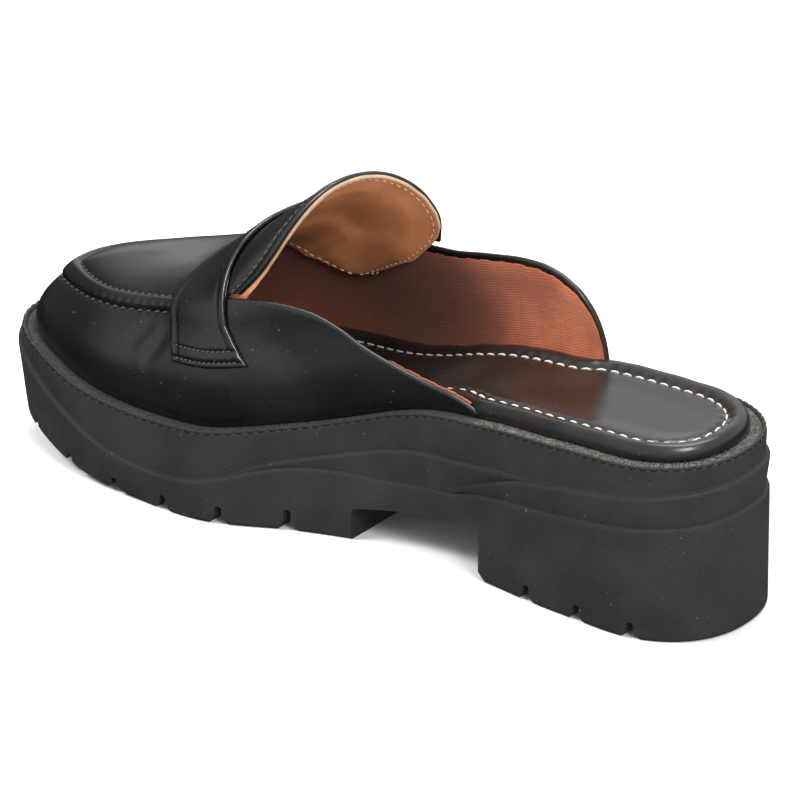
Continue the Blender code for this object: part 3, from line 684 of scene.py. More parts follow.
@dataclass(frozen=True)
class LeatherFinish:
    """Polished leather with a faint grain, cloudy gloss and a few dust specks."""

    name: str
    colour: tuple[float, float, float]
    warm: tuple[float, float, float]
    gloss: float = 0.25
    dull: float = 0.37
    coat: float = 0.22
    grain: float = 0.00055
    grain_depth: float = 0.00005
    specks: float = 0.35

    def build(self) -> bpy.types.Material:
        """Grain from small cells and noise; specks where a fine noise passes a threshold."""
        nodes = Nodes(self.name)
        cloud = nodes.noise(0.028, 1.5)
        fine = nodes.noise(0.0035, 2.0)
        speck = nodes.spread(nodes.noise(0.0011, 1.0), 0.745, 0.79, 0.0, self.specks)
        base = nodes.blend(nodes.spread(cloud, 0.35, 0.7), self.colour, self.warm)
        nodes.set(Base_Color=nodes.blend(speck, base, (0.16, 0.155, 0.15)))
        haze = nodes.math("ADD", nodes.math("MULTIPLY", cloud, 0.86), nodes.math("MULTIPLY", fine, 0.14))
        rough = nodes.spread(haze, 0.35, 0.68, self.gloss, self.dull)
        nodes.set(Roughness=nodes.math("ADD", rough, nodes.math("MULTIPLY", speck, 0.4), True),
                  Coat_Weight=self.coat, Coat_Roughness=0.18, IOR=1.53)
        nodes.relief(nodes.cells(self.grain), self.grain_depth, 0.22)
        nodes.relief(nodes.noise(self.grain * 4, 3.0), self.grain_depth * 2, 0.30)
        nodes.relief(nodes.noise(0.011, 2.0), 0.0003, 0.22)
        return nodes.material


@dataclass(frozen=True)
class RubberFinish:
    """Matt charcoal rubber, moulded with fine crossing ribs, dusty in places."""

    name: str
    colour: tuple[float, float, float]
    dust: tuple[float, float, float]
    rib_pitch: float = 0.00078
    rib_depth: float = 0.00016
    cross_share: float = 0.45
    lean: float = 42.0

    def build(self) -> bpy.types.Material:
        """Two sets of sine ribs that lean both ways in the cloth, under a cloud of dust."""
        nodes = Nodes(self.name)
        u, v = nodes.cloth()
        main = nodes.ribs(nodes.lean(u, v, self.lean), self.rib_pitch)
        cross = nodes.ribs(nodes.lean(u, v, -self.lean - 6), self.rib_pitch)
        patch = nodes.spread(nodes.noise(0.03, 2.0), 0.4, 0.62, 0.35, 1.0)
        weave = nodes.math("ADD", main, nodes.math("MULTIPLY", nodes.math("MULTIPLY", cross, patch), self.cross_share))
        cloud = nodes.noise(0.018, 4.0)
        speck = nodes.spread(nodes.noise(0.0009, 1.0), 0.76, 0.80, 0.0, 0.6)
        base = nodes.blend(nodes.spread(cloud, 0.3, 0.75, 0.0, 0.35), self.colour, self.dust)
        base = nodes.blend(nodes.math("MULTIPLY", weave, 0.16), base, self.dust)
        dust_and_painted_shade = nodes.dust_and_painted_shade()
        worn = nodes.math("MULTIPLY", dust_and_painted_shade, nodes.spread(nodes.noise(0.0007, 3.0), 0.42, 0.60), True)
        base = nodes.blend(worn, base, (0.13, 0.125, 0.115))
        # Below 0 the share turns the colour near black: painted shade in the crease between the welt and the sole's
        # rim.
        base = nodes.blend(nodes.math("MULTIPLY", dust_and_painted_shade, -1.0, True), base, (0.003, 0.003, 0.003))
        nodes.set(Base_Color=nodes.blend(speck, base, (0.22, 0.21, 0.2)))
        nodes.set(Roughness=nodes.spread(cloud, 0.3, 0.7, 0.62, 0.78), IOR=1.45)
        nodes.relief(weave, self.rib_depth, 0.75)
        nodes.relief(nodes.noise(0.0006, 3.0), 0.00006, 0.5)
        return nodes.material


@dataclass(frozen=True)
class TextileFinish:
    """Fine ribbed lining cloth with a soft nap, darkened in clouds towards the throat by painted shade."""

    name: str
    colour: tuple[float, float, float]
    shade: tuple[float, float, float]
    rib_pitch: float = 0.00085
    painted_throat_shade: float = 0.35

    def build(self) -> bpy.types.Material:
        """Ribs along the cloth crossed by finer threads, with fibre noise in colour and height."""
        nodes = Nodes(self.name)
        u, v = nodes.cloth()
        drift = nodes.math("MULTIPLY", nodes.noise(0.006, 2.0), 0.0009)
        rib = nodes.ribs(nodes.math("ADD", v, drift), self.rib_pitch)
        thread = nodes.ribs(u, self.rib_pitch * 0.62)
        weave = nodes.math("ADD", rib, nodes.math("MULTIPLY", thread, 0.45))
        fibre = nodes.noise(0.0008, 4.0)
        cloud = nodes.noise(0.016, 4.0, rough=0.62)
        tone = nodes.math("ADD", nodes.math("MULTIPLY", cloud, 0.75), nodes.math("MULTIPLY", fibre, 0.25))
        base = nodes.blend(nodes.spread(tone, 0.34, 0.66), self.shade, self.colour)
        base = nodes.blend(nodes.math("MULTIPLY", weave, 0.16), base, tuple(min(1.0, c * 1.5) for c in self.colour))
        # Painted shade: the cloth is pulled towards a dark copy of its shade colour by the share that the piece
        # carries, in clouds.
        painted_throat_shade = nodes.math("MULTIPLY", nodes.dust_and_painted_shade(), nodes.spread(cloud, 0.30, 0.60, 0.62, 0.86))
        base = nodes.blend(painted_throat_shade, base, tuple(c * self.painted_throat_shade for c in self.shade))
        nodes.set(Base_Color=base, Roughness=0.85, Sheen_Weight=0.25, Sheen_Roughness=0.45, IOR=1.4)
        nodes.relief(weave, 0.00014, 0.6)
        nodes.relief(fibre, 0.0001, 0.5)
        nodes.relief(nodes.noise(0.012, 2.0), 0.0006, 0.3)
        return nodes.material


@dataclass(frozen=True)
class TanFinish:
    """Smooth tan lining leather, soft and slightly mottled."""

    name: str
    colour: tuple[float, float, float]
    shade: tuple[float, float, float]

    def build(self) -> bpy.types.Material:
        """Mottled colour with pores and shallow wrinkles."""
        nodes = Nodes(self.name)
        cloud = nodes.noise(0.010, 4.0)
        fine = nodes.noise(0.0012, 3.0)
        tone = nodes.math("ADD", nodes.math("MULTIPLY", cloud, 0.7), nodes.math("MULTIPLY", fine, 0.3))
        nodes.set(Base_Color=nodes.blend(nodes.spread(tone, 0.35, 0.65), self.shade, self.colour),
                  Roughness=nodes.spread(fine, 0.3, 0.7, 0.46, 0.6), IOR=1.45)
        nodes.relief(nodes.cells(0.0006), 0.00005, 0.3)
        nodes.relief(nodes.noise(0.004, 3.0), 0.0002, 0.3)
        return nodes.material


@dataclass(frozen=True)
class ThreadFinish:
    """Twisted sewing thread."""

    name: str
    colour: tuple[float, float, float]
    shade: tuple[float, float, float]
    twist_pitch: float = 0.0007

    def build(self) -> bpy.types.Material:
        """Strands that wind round the thread, darker in the grooves between them as painted shade, with fibre noise in
        the tone.
        """
        nodes = Nodes(self.name)
        u, v = nodes.cloth()
        strand = nodes.ribs(nodes.lean(u, v, 50.0), self.twist_pitch)
        fibre = nodes.noise(0.0004, 3.0)
        tone = nodes.math("ADD", nodes.math("MULTIPLY", strand, 0.6), nodes.math("MULTIPLY", fibre, 0.4))
        nodes.set(Base_Color=nodes.blend(nodes.spread(tone, 0.2, 0.7), self.shade, self.colour),
                  Roughness=0.62, IOR=1.45)
        nodes.relief(strand, 0.00008, 0.5)
        return nodes.material


@dataclass(frozen=True)
class FloorFinish:
    """Plain pale floor."""

    name: str = "floor_white"

    def build(self) -> bpy.types.Material:
        """Matt white with a trace of unevenness."""
        nodes = Nodes(self.name)
        nodes.set(Base_Color=nodes.blend(nodes.noise(0.4, 2.0), (0.74, 0.74, 0.74), (0.76, 0.76, 0.76)),
                  Roughness=0.9, IOR=1.3)
        return nodes.material


@dataclass(frozen=True)
class Finishes:
    """All finishes of the shoe, built once."""

    upper: bpy.types.Material
    footbed: bpy.types.Material
    rubber: bpy.types.Material
    lining: bpy.types.Material
    tan: bpy.types.Material
    raw_edge: bpy.types.Material
    black_thread: bpy.types.Material
    white_thread: bpy.types.Material
    cream_thread: bpy.types.Material

    @classmethod
    def mix(cls) -> "Finishes":
        """Build every finish."""
        return cls(
            upper=LeatherFinish("leather_black", (0.0038, 0.0038, 0.0040), (0.0060, 0.0058, 0.0058)).build(),
            footbed=LeatherFinish("leather_footbed", (0.0075, 0.0070, 0.0070), (0.014, 0.0115, 0.0105),
                                  gloss=0.22, dull=0.33, coat=0.08, specks=0.25).build(),
            rubber=RubberFinish("rubber_charcoal", (0.0150, 0.0138, 0.0126), (0.032, 0.0298, 0.0272)).build(),
            lining=TextileFinish("textile_terracotta", (0.46, 0.132, 0.058), (0.25, 0.058, 0.023)).build(),
            tan=TanFinish("leather_tan", (0.66, 0.270, 0.118), (0.54, 0.202, 0.082)).build(),
            raw_edge=TanFinish("leather_raw_edge", (0.46, 0.33, 0.22), (0.36, 0.245, 0.155)).build(),
            black_thread=ThreadFinish("thread_black", (0.085, 0.085, 0.085), (0.016, 0.016, 0.016)).build(),
            white_thread=ThreadFinish("thread_off_white", (0.72, 0.69, 0.63), (0.42, 0.39, 0.34)).build(),
            cream_thread=ThreadFinish("thread_cream", (0.66, 0.49, 0.36), (0.42, 0.28, 0.19)).build(),
        )


@dataclass(frozen=True)
class StitchRow:
    """One row of sewn stitches along a path on a surface."""

    name: str
    pitch: float
    length: float
    radius: float
    sink: float = 0.4
    lean: float = 0.0
    rings: int = 9
    round_points: int = 8

    def sew(self, path: Array, normal: Array, finish: bpy.types.Material, slot: Slot) -> bpy.types.Object:
        """Lay one short rounded thread a stitch; its middle stands proud and its ends dive in.

        Args:
            path: points of the seam, in order.
            normal: outward direction of the surface at those points.
            finish: the thread.
            slot: record slot of the surface that it is sewn in; not used.

        Returns:
            One piece with all the row's stitches.
        """
        walked = run_length(path)
        count = max(1, int(walked[-1] / self.pitch))
        start = (np.arange(count) + 0.5) * (walked[-1] / count) - self.length / 2
        share = np.linspace(0, 1, self.rings)
        along = start[:, None] + share[None, :] * self.length
        read = lambda values: np.stack([np.interp(along, walked, values[:, axis]) for axis in range(3)], axis=-1)
        centre, up = read(path), unit(read(normal))
        forward = unit(np.gradient(centre, axis=1))
        across = np.cross(up, forward)
        body = np.sqrt(np.clip(1 - np.abs(2 * share - 1) ** 4, 0, 1))
        lift = self.radius * ((1 - self.sink) * np.sin(math.pi * share) ** 0.5 - 0.35)
        centre = centre + up * lift[None, :, None] + across * ((share - 0.5) * self.lean)[None, :, None]
        angle = np.arange(self.round_points) / self.round_points * 2 * math.pi
        ring = (across[:, :, None, :] * np.cos(angle)[None, None, :, None]
                + up[:, :, None, :] * np.sin(angle)[None, None, :, None])
        points = centre[:, :, None, :] + ring * (self.radius * np.maximum(body, 0.04))[None, :, None, None]
        one = grid_faces(self.rings, self.round_points, 0, True)
        faces = (one[None] + (np.arange(count) * self.rings * self.round_points)[:, None, None]).reshape(-1, 4)
        wide = self.round_points + 1
        girth = np.arange(wide) / self.round_points * 2 * math.pi * self.radius
        cloth = np.stack(np.broadcast_arrays((share * self.length)[:, None], girth[None, :]), axis=-1)
        weave = np.tile(corner_cloth(cloth, self.rings, self.round_points, True), (count, 1, 1))
        return make_piece(self.name, points.reshape(-1, 3), faces, finish, weave, sharp=80)


@dataclass
class SoleUnit:
    """Rubber sole: stepped side bands, notched tread, arch, rim and moulded welt stitches."""

    finishes: Finishes
    step: float = 0.0011
    lip: float = 0.0014
    bottom_round: float = 0.0012
    rim_round: float = 0.0014
    toe_undercut: float = 0.0027
    groove_inset: float = 0.0028
    groove_width: float = 0.0010
    groove_depth: float = 0.0004
    heel_block: float = 0.0815
    arch_gap: float = 0.0472
    arch_rear: float = 0.0176
    arch_front: float = 0.0102
    breast_chamfer: float = 0.0030
    notch_pitch: float = 0.0195
    fore_notches: int = 6
    heel_notches: int = 3
    notch_throat: float = 0.0022
    notch_foot: float = 0.0060
    notch_height: float = 0.0068
    toe_notch_height: float = 0.0022
    heel_notch_height: float = 0.0052
    columns: int = 720
    scallop_pitch: float = 0.0034
    scallop_columns: int = 12

    def ring(self, turn: Array, line: str, lift: float, inset: Array) -> Array:
        """One ring of the side: on the ground, on a stepped line or on the top."""
        x, y = PLAN.ring(turn, inset)
        bottom, top = PLAN.bottom(x), PLAN.top(x)
        share = {"ground": 0.0, "top": 1.0}.get(line)
        if share is None:
            share = SIDE_LINES.at(line, PLAN.station_of(turn))
        return lay(x, y, bottom + share * (top - bottom) + lift)

    def side_rings(self, turn: Array) -> list[Array]:
        """Rings from the tread up: each band leans out and ends in a quarter-round lip."""
        station = PLAN.station_of(turn)
        x = (station - 0.5) * PLAN.length
        undercut = self.toe_undercut * np.clip((station - 0.6) / 0.4, 0, 1) ** 1.5
        depth = PLAN.top(x) - PLAN.bottom(x)
        leaf_room = (SIDE_LINES.at("leaf", station) - SIDE_LINES.at("lower", station)) * depth
        upper_room = (SIDE_LINES.at("upper", station) - SIDE_LINES.at("leaf", station)) * depth
        leaf_lip = self.step * (1 - ease(leaf_room / (4 * self.lip)))
        upper_lip = self.step * (1 - ease(upper_room / (4 * self.lip)))
        quarter = np.linspace(0, math.pi / 2, 7)
        rings = []
        for angle in quarter:
            lift = self.bottom_round * (1 - math.cos(angle))
            rings.append(self.ring(turn, "ground", lift, undercut + self.bottom_round * (1 - math.sin(angle))))
        for angle in quarter:
            rings.append(self.ring(turn, "lower", -self.lip * (1 - math.sin(angle)), self.step * (1 - math.cos(angle))))
        rings.append(self.ring(turn, "lower", 0.00012, self.step * 1.05))
        for angle in quarter:
            inset = leaf_lip + (self.step - leaf_lip) * (1 - math.cos(angle))
            rings.append(self.ring(turn, "leaf", -self.lip * (1 - math.sin(angle)), inset))
        for angle in quarter:
            inset = upper_lip + (self.step * 1.2 - upper_lip) * (1 - math.cos(angle))
            rings.append(self.ring(turn, "upper", -self.lip * (1 - math.sin(angle)), inset))
        for angle in quarter:
            lift = -self.rim_round * (1 - math.sin(angle))
            rings.append(self.ring(turn, "top", lift, self.step + self.rim_round * 0.6 * (1 - math.cos(angle))))
        for lower, upper in zip(rings[:-1], rings[1:]):
            upper[:, 2] = np.maximum(upper[:, 2], lower[:, 2] + 0.00002)
        return rings

    def top_rings(self, turn: Array) -> list[Array]:
        """Rings on the top: a soft groove, then the flat that the upper and the footbed sit on."""
        rings = []
        for share in np.linspace(-0.5, 0.5, 7):
            drop = self.groove_depth * 0.5 * (1 + math.cos(2 * math.pi * share))
            rings.append(self.ring(turn, "top", -drop, self.groove_inset + share * self.groove_width))
        return rings + [self.ring(turn, "top", 0.0, inset) for inset in (0.006, 0.009)]

    def notch(self, middle: float, height: float) -> list[tuple[float, float]]:
        """Side view of one notch: flared foot and a rounded narrow throat."""
        foot, throat, ground = self.notch_foot / 2, self.notch_throat / 2, float(PLAN.bottom(middle))
        crown = [(middle + throat * math.sin(a), ground + height - throat * (1 - math.cos(a)) * 0.8)
                 for a in np.linspace(-math.pi / 2, math.pi / 2, 9)]
        return [(middle - foot, -0.007), (middle - foot, ground), (middle - throat, ground + height * 0.45),
                *crown, (middle + throat, ground + height * 0.45), (middle + foot, ground), (middle + foot, -0.007)]

    def cutter(self) -> bpy.types.Object:
        """Prisms across the shoe for the arch and the notches of the tread."""
        heel_front = self.heel_block - PLAN.length / 2
        lug_back = heel_front + self.arch_gap
        below, corner = -0.007, 0.0012
        profiles = [[(heel_front - self.breast_chamfer, below), (heel_front - self.breast_chamfer, 0.0),
                     (heel_front, self.breast_chamfer), (heel_front, self.arch_rear - corner),
                     (heel_front + corner * 0.3, self.arch_rear - corner * 0.3),
                     (heel_front + corner, self.arch_rear),
                     (lug_back - corner, self.arch_front + corner * 0.15),
                     (lug_back - corner * 0.25, self.arch_front - corner * 0.3),
                     (lug_back, self.arch_front - corner), (lug_back, below)]]
        for count in range(1, self.fore_notches + 1):
            share = (count - 1) / (self.fore_notches - 1)
            height = self.notch_height + (self.toe_notch_height - self.notch_height) * share
            profiles.append(self.notch(lug_back + count * self.notch_pitch, height))
        for count in range(1, self.heel_notches + 1):
            profiles.append(self.notch(heel_front - count * self.notch_pitch, self.heel_notch_height))
        mesh = bpy.data.meshes.new("tread_cutter")
        points: list[tuple[float, float, float]] = []
        faces: list[list[int]] = []
        for profile in profiles:
            start, count = len(points), len(profile)
            points += [(x, side * PLAN.ball_width, z) for side in (-1, 1) for x, z in profile]
            faces += [[start + i for i in range(count)], [start + count + i for i in reversed(range(count))]]
            faces += [[start + i, start + count + i, start + count + (i + 1) % count, start + (i + 1) % count]
                      for i in range(count)]
        mesh.from_pydata(points, [], faces)
        shape = bmesh.new()
        shape.from_mesh(mesh)
        bmesh.ops.recalc_face_normals(shape, faces=shape.faces)
        shape.to_mesh(mesh)
        shape.free()
        layer = mesh.uv_layers.new(name="weave")
        layer.data.foreach_set("uv", np.zeros(len(mesh.loops) * 2, dtype=np.float32))
        mesh.materials.append(self.finishes.rubber)
        tool = bpy.data.objects.new("tread_cutter", mesh)
        bpy.context.collection.objects.link(tool)
        return tool

    def build(self) -> None:
        """Stack the rings, close both ends across the shoe, cut the tread and add the welt."""
        turn = PLAN.even_turns(self.columns)
        rings = self.side_rings(turn) + self.top_rings(turn)
        rows, count = len(rings), self.columns
        points = np.concatenate(rings)
        faces = grid_faces(rows, count, 0, True)
        walked = np.arange(count + 1) / count * run_length(np.stack(PLAN.point(np.append(turn, 1.0)), axis=-1))[-1]
        heights = np.stack([ring[:, 2] for ring in rings])
        heights = np.concatenate([heights, heights[:, :1]], axis=1)
        cloth = np.stack([np.broadcast_to(walked, heights.shape), heights], axis=-1)
        weave = corner_cloth(cloth, rows, count, True)
        half = np.arange(1, count // 2 - 1)
        caps = []
        for start in (0, (rows - 1) * count):
            strip = np.stack([start + half, start + half + 1, start + count - half - 1, start + count - half], axis=-1)
            ends = np.array([[start, start + 1, start + count - 1, start],
                             [start + count // 2 - 1, start + count // 2, start + count // 2 + 1, start + count // 2 - 1]])
            caps.append((strip, ends))
        flat = np.concatenate([part for strip, _ in caps for part in (strip,)])
        faces = np.concatenate([faces, flat])
        flat_cloth = points[flat][..., :2]
        weave = np.concatenate([weave, flat_cloth])
        dust = np.zeros((rows, count))
        dust[-9:] = 0.9 * np.where(PLAN.station_of(turn) < 0.33, 1.0, 0.25)
        sole = make_piece("sole_unit", points, faces, self.finishes.rubber, weave, dust.ravel(), 30)
        self.close_ends(sole)
        tool = self.cutter()
        cut = sole.modifiers.new("tread", "BOOLEAN")
        cut.operation, cut.solver, cut.object = "DIFFERENCE", "EXACT", tool
        graph = bpy.context.evaluated_depsgraph_get()
        carved = bpy.data.meshes.new_from_object(sole.evaluated_get(graph), depsgraph=graph)
        sole.modifiers.clear()
        sole.data = carved
        bpy.data.objects.remove(tool, do_unlink=True)
        carved.shade_smooth()
        carved.set_sharp_from_angle(angle=math.radians(30))
        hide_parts("outsole")
        self.build_welt()

    def close_ends(self, sole: bpy.types.Object) -> None:
        """Fill the two small holes that the strips leave at heel and toe."""
        shape = bmesh.new()
        shape.from_mesh(sole.data)
        bmesh.ops.holes_fill(shape, edges=[edge for edge in shape.edges if edge.is_boundary], sides=8)
        bmesh.ops.recalc_face_normals(shape, faces=shape.faces)
        shape.to_mesh(sole.data)
        shape.free()

    def build_welt(self) -> None:
        """Flat welt on the ledge with a scalloped outer edge, with near-black painted shade where it meets the rim and
        a trace of dust on its top.

        The outer edge swings out once a scallop, by the root of the sine's size, and its section
        runs from below the ledge up the edge, over a thin raised line and back down to the ledge.
        """
        length = run_length(np.stack(PLAN.point(np.linspace(0, 1, 2001)), axis=-1))[-1]
        scallops = int(length / self.scallop_pitch)
        count = scallops * self.scallop_columns
        turn = PLAN.even_turns(count, self.step)
        swing = np.abs(np.sin(math.pi * np.arange(count) / self.scallop_columns)) ** 0.6
        section = np.array(WELT_SECTION)
        inset = section[:, 0][:, None] - section[:, 1][:, None] * swing[None, :]
        x, y = PLAN.ring(np.broadcast_to(turn[None, :], inset.shape), inset)
        grid = lay(x, y, PLAN.top(x) + section[:, 2][:, None] + section[:, 3][:, None] * swing[None, :])
        rows = len(section)
        faces = grid_faces(rows, count, 0, True)
        column = np.arange(count)
        after = (column + 1) % count
        close = np.stack([(rows - 1) * count + column, (rows - 1) * count + after, after, column], axis=-1)
        walked = np.arange(count + 1) / count * length
        cloth = np.stack(np.broadcast_arrays(walked[None, :], section[:, 0][:, None]), axis=-1)
        weave = np.concatenate([corner_cloth(cloth, rows, count, True), np.zeros((count, 4, 2))])
        # Painted shade along the welt's crease where the share is below 0, a trace of dust on its top where it is above
        # 0.
        welt_painted_shade_and_dust = np.broadcast_to(section[:, 4][:, None], (rows, count))
        make_piece("welt_scallops", grid.reshape(-1, 3), np.concatenate([faces, close]), self.finishes.rubber,
                   weave, welt_painted_shade_and_dust.ravel(), sharp=60)


@dataclass
class Footbed:
    """Padded leather footbed with a rolled edge, a sewn channel and a shallow dish."""

    finishes: Finishes
    thickness: float = 0.0048
    fore_thickness: float = 0.0034
    roll: float = 0.0070
    dish: float = 0.0006
    channel_drop: float = 0.0011
    wall_clearance: float = 0.0007
    medial_end: float = 0.334
    lateral_end: float = 0.272
    stitch_pitch: float = 0.0048
    stitch_length: float = 0.0036
    columns: int = 640

    def inset(self, turn: Array) -> Array:
        """Edge of the footbed: out on the ledge behind the quarters, inside the wall ahead of them."""
        station = PLAN.station_of(turn)
        inside = LAST.wall + self.wall_clearance
        medial, lateral = ease((station - self.medial_end) / 0.050), ease((station - self.lateral_end + 0.018) / 0.036)
        return LAST.ledge_inset + inside * np.where(turn <= 0.5, medial, lateral)

    def height(self, turn: Array, inward: Array, walked: Array) -> Array:
        """Height over the sole of the padded top.

        The roll is a quarter-round, then a crown that dips into the sewn channel. Each stitch pulls
        the channel down and gathers short puckers beside it, and the dish falls away inside it.

        Args:
            turn: places on the ring.
            inward: distance in from the footbed's edge.
            walked: distance along the sewn channel.

        Returns:
            Heights above the sole's top.
        """
        thick = self.thickness + (self.fore_thickness - self.thickness) * ease(
            (PLAN.station_of(turn) - 0.35) / 0.25)
        shoulder = np.clip(inward / (self.roll * 0.42), 0, 1)
        body = thick * (1 - (1 - shoulder) ** 2.3) ** (1 / 2.0)
        beat = 0.5 + 0.5 * np.cos(2 * math.pi * walked / self.stitch_pitch)
        channel = bell(inward - self.roll, 0.0011) * (0.00052 + 0.00022 * beat)
        pucker = (bell(inward - self.roll + 0.0018, 0.0016) + 0.7 * bell(inward - self.roll - 0.0017, 0.0013)) * beat
        dip = self.dish * ease((inward - self.roll) / 0.010)
        dip = dip + self.channel_drop * ease((inward - 0.0034) / 0.0036)
        wave = 0.00010 * np.sin(walked * 410) * bell(inward - self.roll * 0.45, 0.003)
        return body - channel - 0.00016 * pucker - dip + wave

    def build(self) -> None:
        """Rings from the underside round the roll to the centre line, then the stitches."""
        turn = PLAN.even_turns(self.columns, LAST.ledge_inset)
        edge = self.inset(turn)
        x, y = PLAN.ring(turn, edge + self.roll)
        path = np.stack([x, y], axis=-1)
        walked = run_length(np.concatenate([path, path[:1]]))
        length = walked[-1]
        walked = walked[:-1] * round(length / self.stitch_pitch) * self.stitch_pitch / length
        rings = []
        seat = LAST.seat_clearance
        for share, lift in ((1.0, 0.0), (0.45, 0.0), (0.14, 0.0), (0.04, 0.00012), (0.0, 0.0005)):
            x, y = PLAN.ring(turn, edge + share * self.roll)
            rings.append(lay(x, y, PLAN.top(x) + seat + lift))
        steps = np.concatenate([np.linspace(0.0001, 0.0030, 14), np.linspace(0.0034, 0.0100, 24)])
        for step in steps:
            x, y = PLAN.ring(turn, edge + step)
            rings.append(lay(x, y, PLAN.top(x) + seat + np.maximum(self.height(turn, step, walked), 0.0007)))
        rim = rings[-1]
        partner = PLAN.turn_of(PLAN.station_of(turn), np.where(turn <= 0.5, -1, 1))
        x_far, y_far = PLAN.ring(partner, self.inset(partner) + steps[-1])
        far = lay(x_far, y_far, np.zeros(len(turn)))
        for share in np.linspace(0, 1, 15)[1:]:
            centre = share * 0.5
            flat = rim * (1 - centre) + far * centre
            inward = steps[-1] + np.hypot(*(flat - rim)[:, :2].T)
            level = PLAN.top(flat[:, 0]) + seat + self.height(turn, inward, walked)
            rings.append(lay(flat[:, 0], flat[:, 1], level))
        rows = len(rings)
        points = np.concatenate(rings)
        faces = grid_faces(rows, self.columns, 0, True)
        count = self.columns
        base = np.arange(1, count // 2 - 1)
        strip = np.stack([base, base + 1, count - base - 1, count - base], axis=-1)
        faces = np.concatenate([faces, strip])
        around = np.append(walked, length)
        inward_rows = np.concatenate([[0, 0, 0, 0, 0], steps, steps[-1] + np.linspace(0, 0.03, 15)[1:]])
        cloth = np.stack(np.broadcast_arrays(around[None, :], inward_rows[:, None]), axis=-1)
        weave = np.concatenate([corner_cloth(cloth, rows, count, True), points[strip][..., :2]])
        pad = make_piece("footbed_pad", points, faces, self.finishes.footbed, weave, sharp=70)
        shape = bmesh.new()
        shape.from_mesh(pad.data)
        bmesh.ops.remove_doubles(shape, verts=shape.verts, dist=0.00003)
        bmesh.ops.holes_fill(shape, edges=[e for e in shape.edges if e.is_boundary], sides=8)
        bmesh.ops.recalc_face_normals(shape, faces=shape.faces)
        shape.to_mesh(pad.data)
        shape.free()
        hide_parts("footbed")
        self.sew(turn, edge, walked)

    def sew(self, turn: Array, edge: Array, walked: Array) -> None:
        """Off-white stitches in the channel, one a pucker."""
        x, y = PLAN.ring(turn, edge + self.roll)
        level = PLAN.top(x) + LAST.seat_clearance + self.height(turn, self.roll, walked)
        path = lay(x, y, level)
        path = np.concatenate([path, path[:1]])
        normal = np.broadcast_to(UPRIGHT, path.shape)
        StitchRow("footbed_stitches", self.stitch_pitch, self.stitch_length, 0.00031, sink=0.1).sew(
            path, normal, self.finishes.white_thread, Slot.FOOTBED)


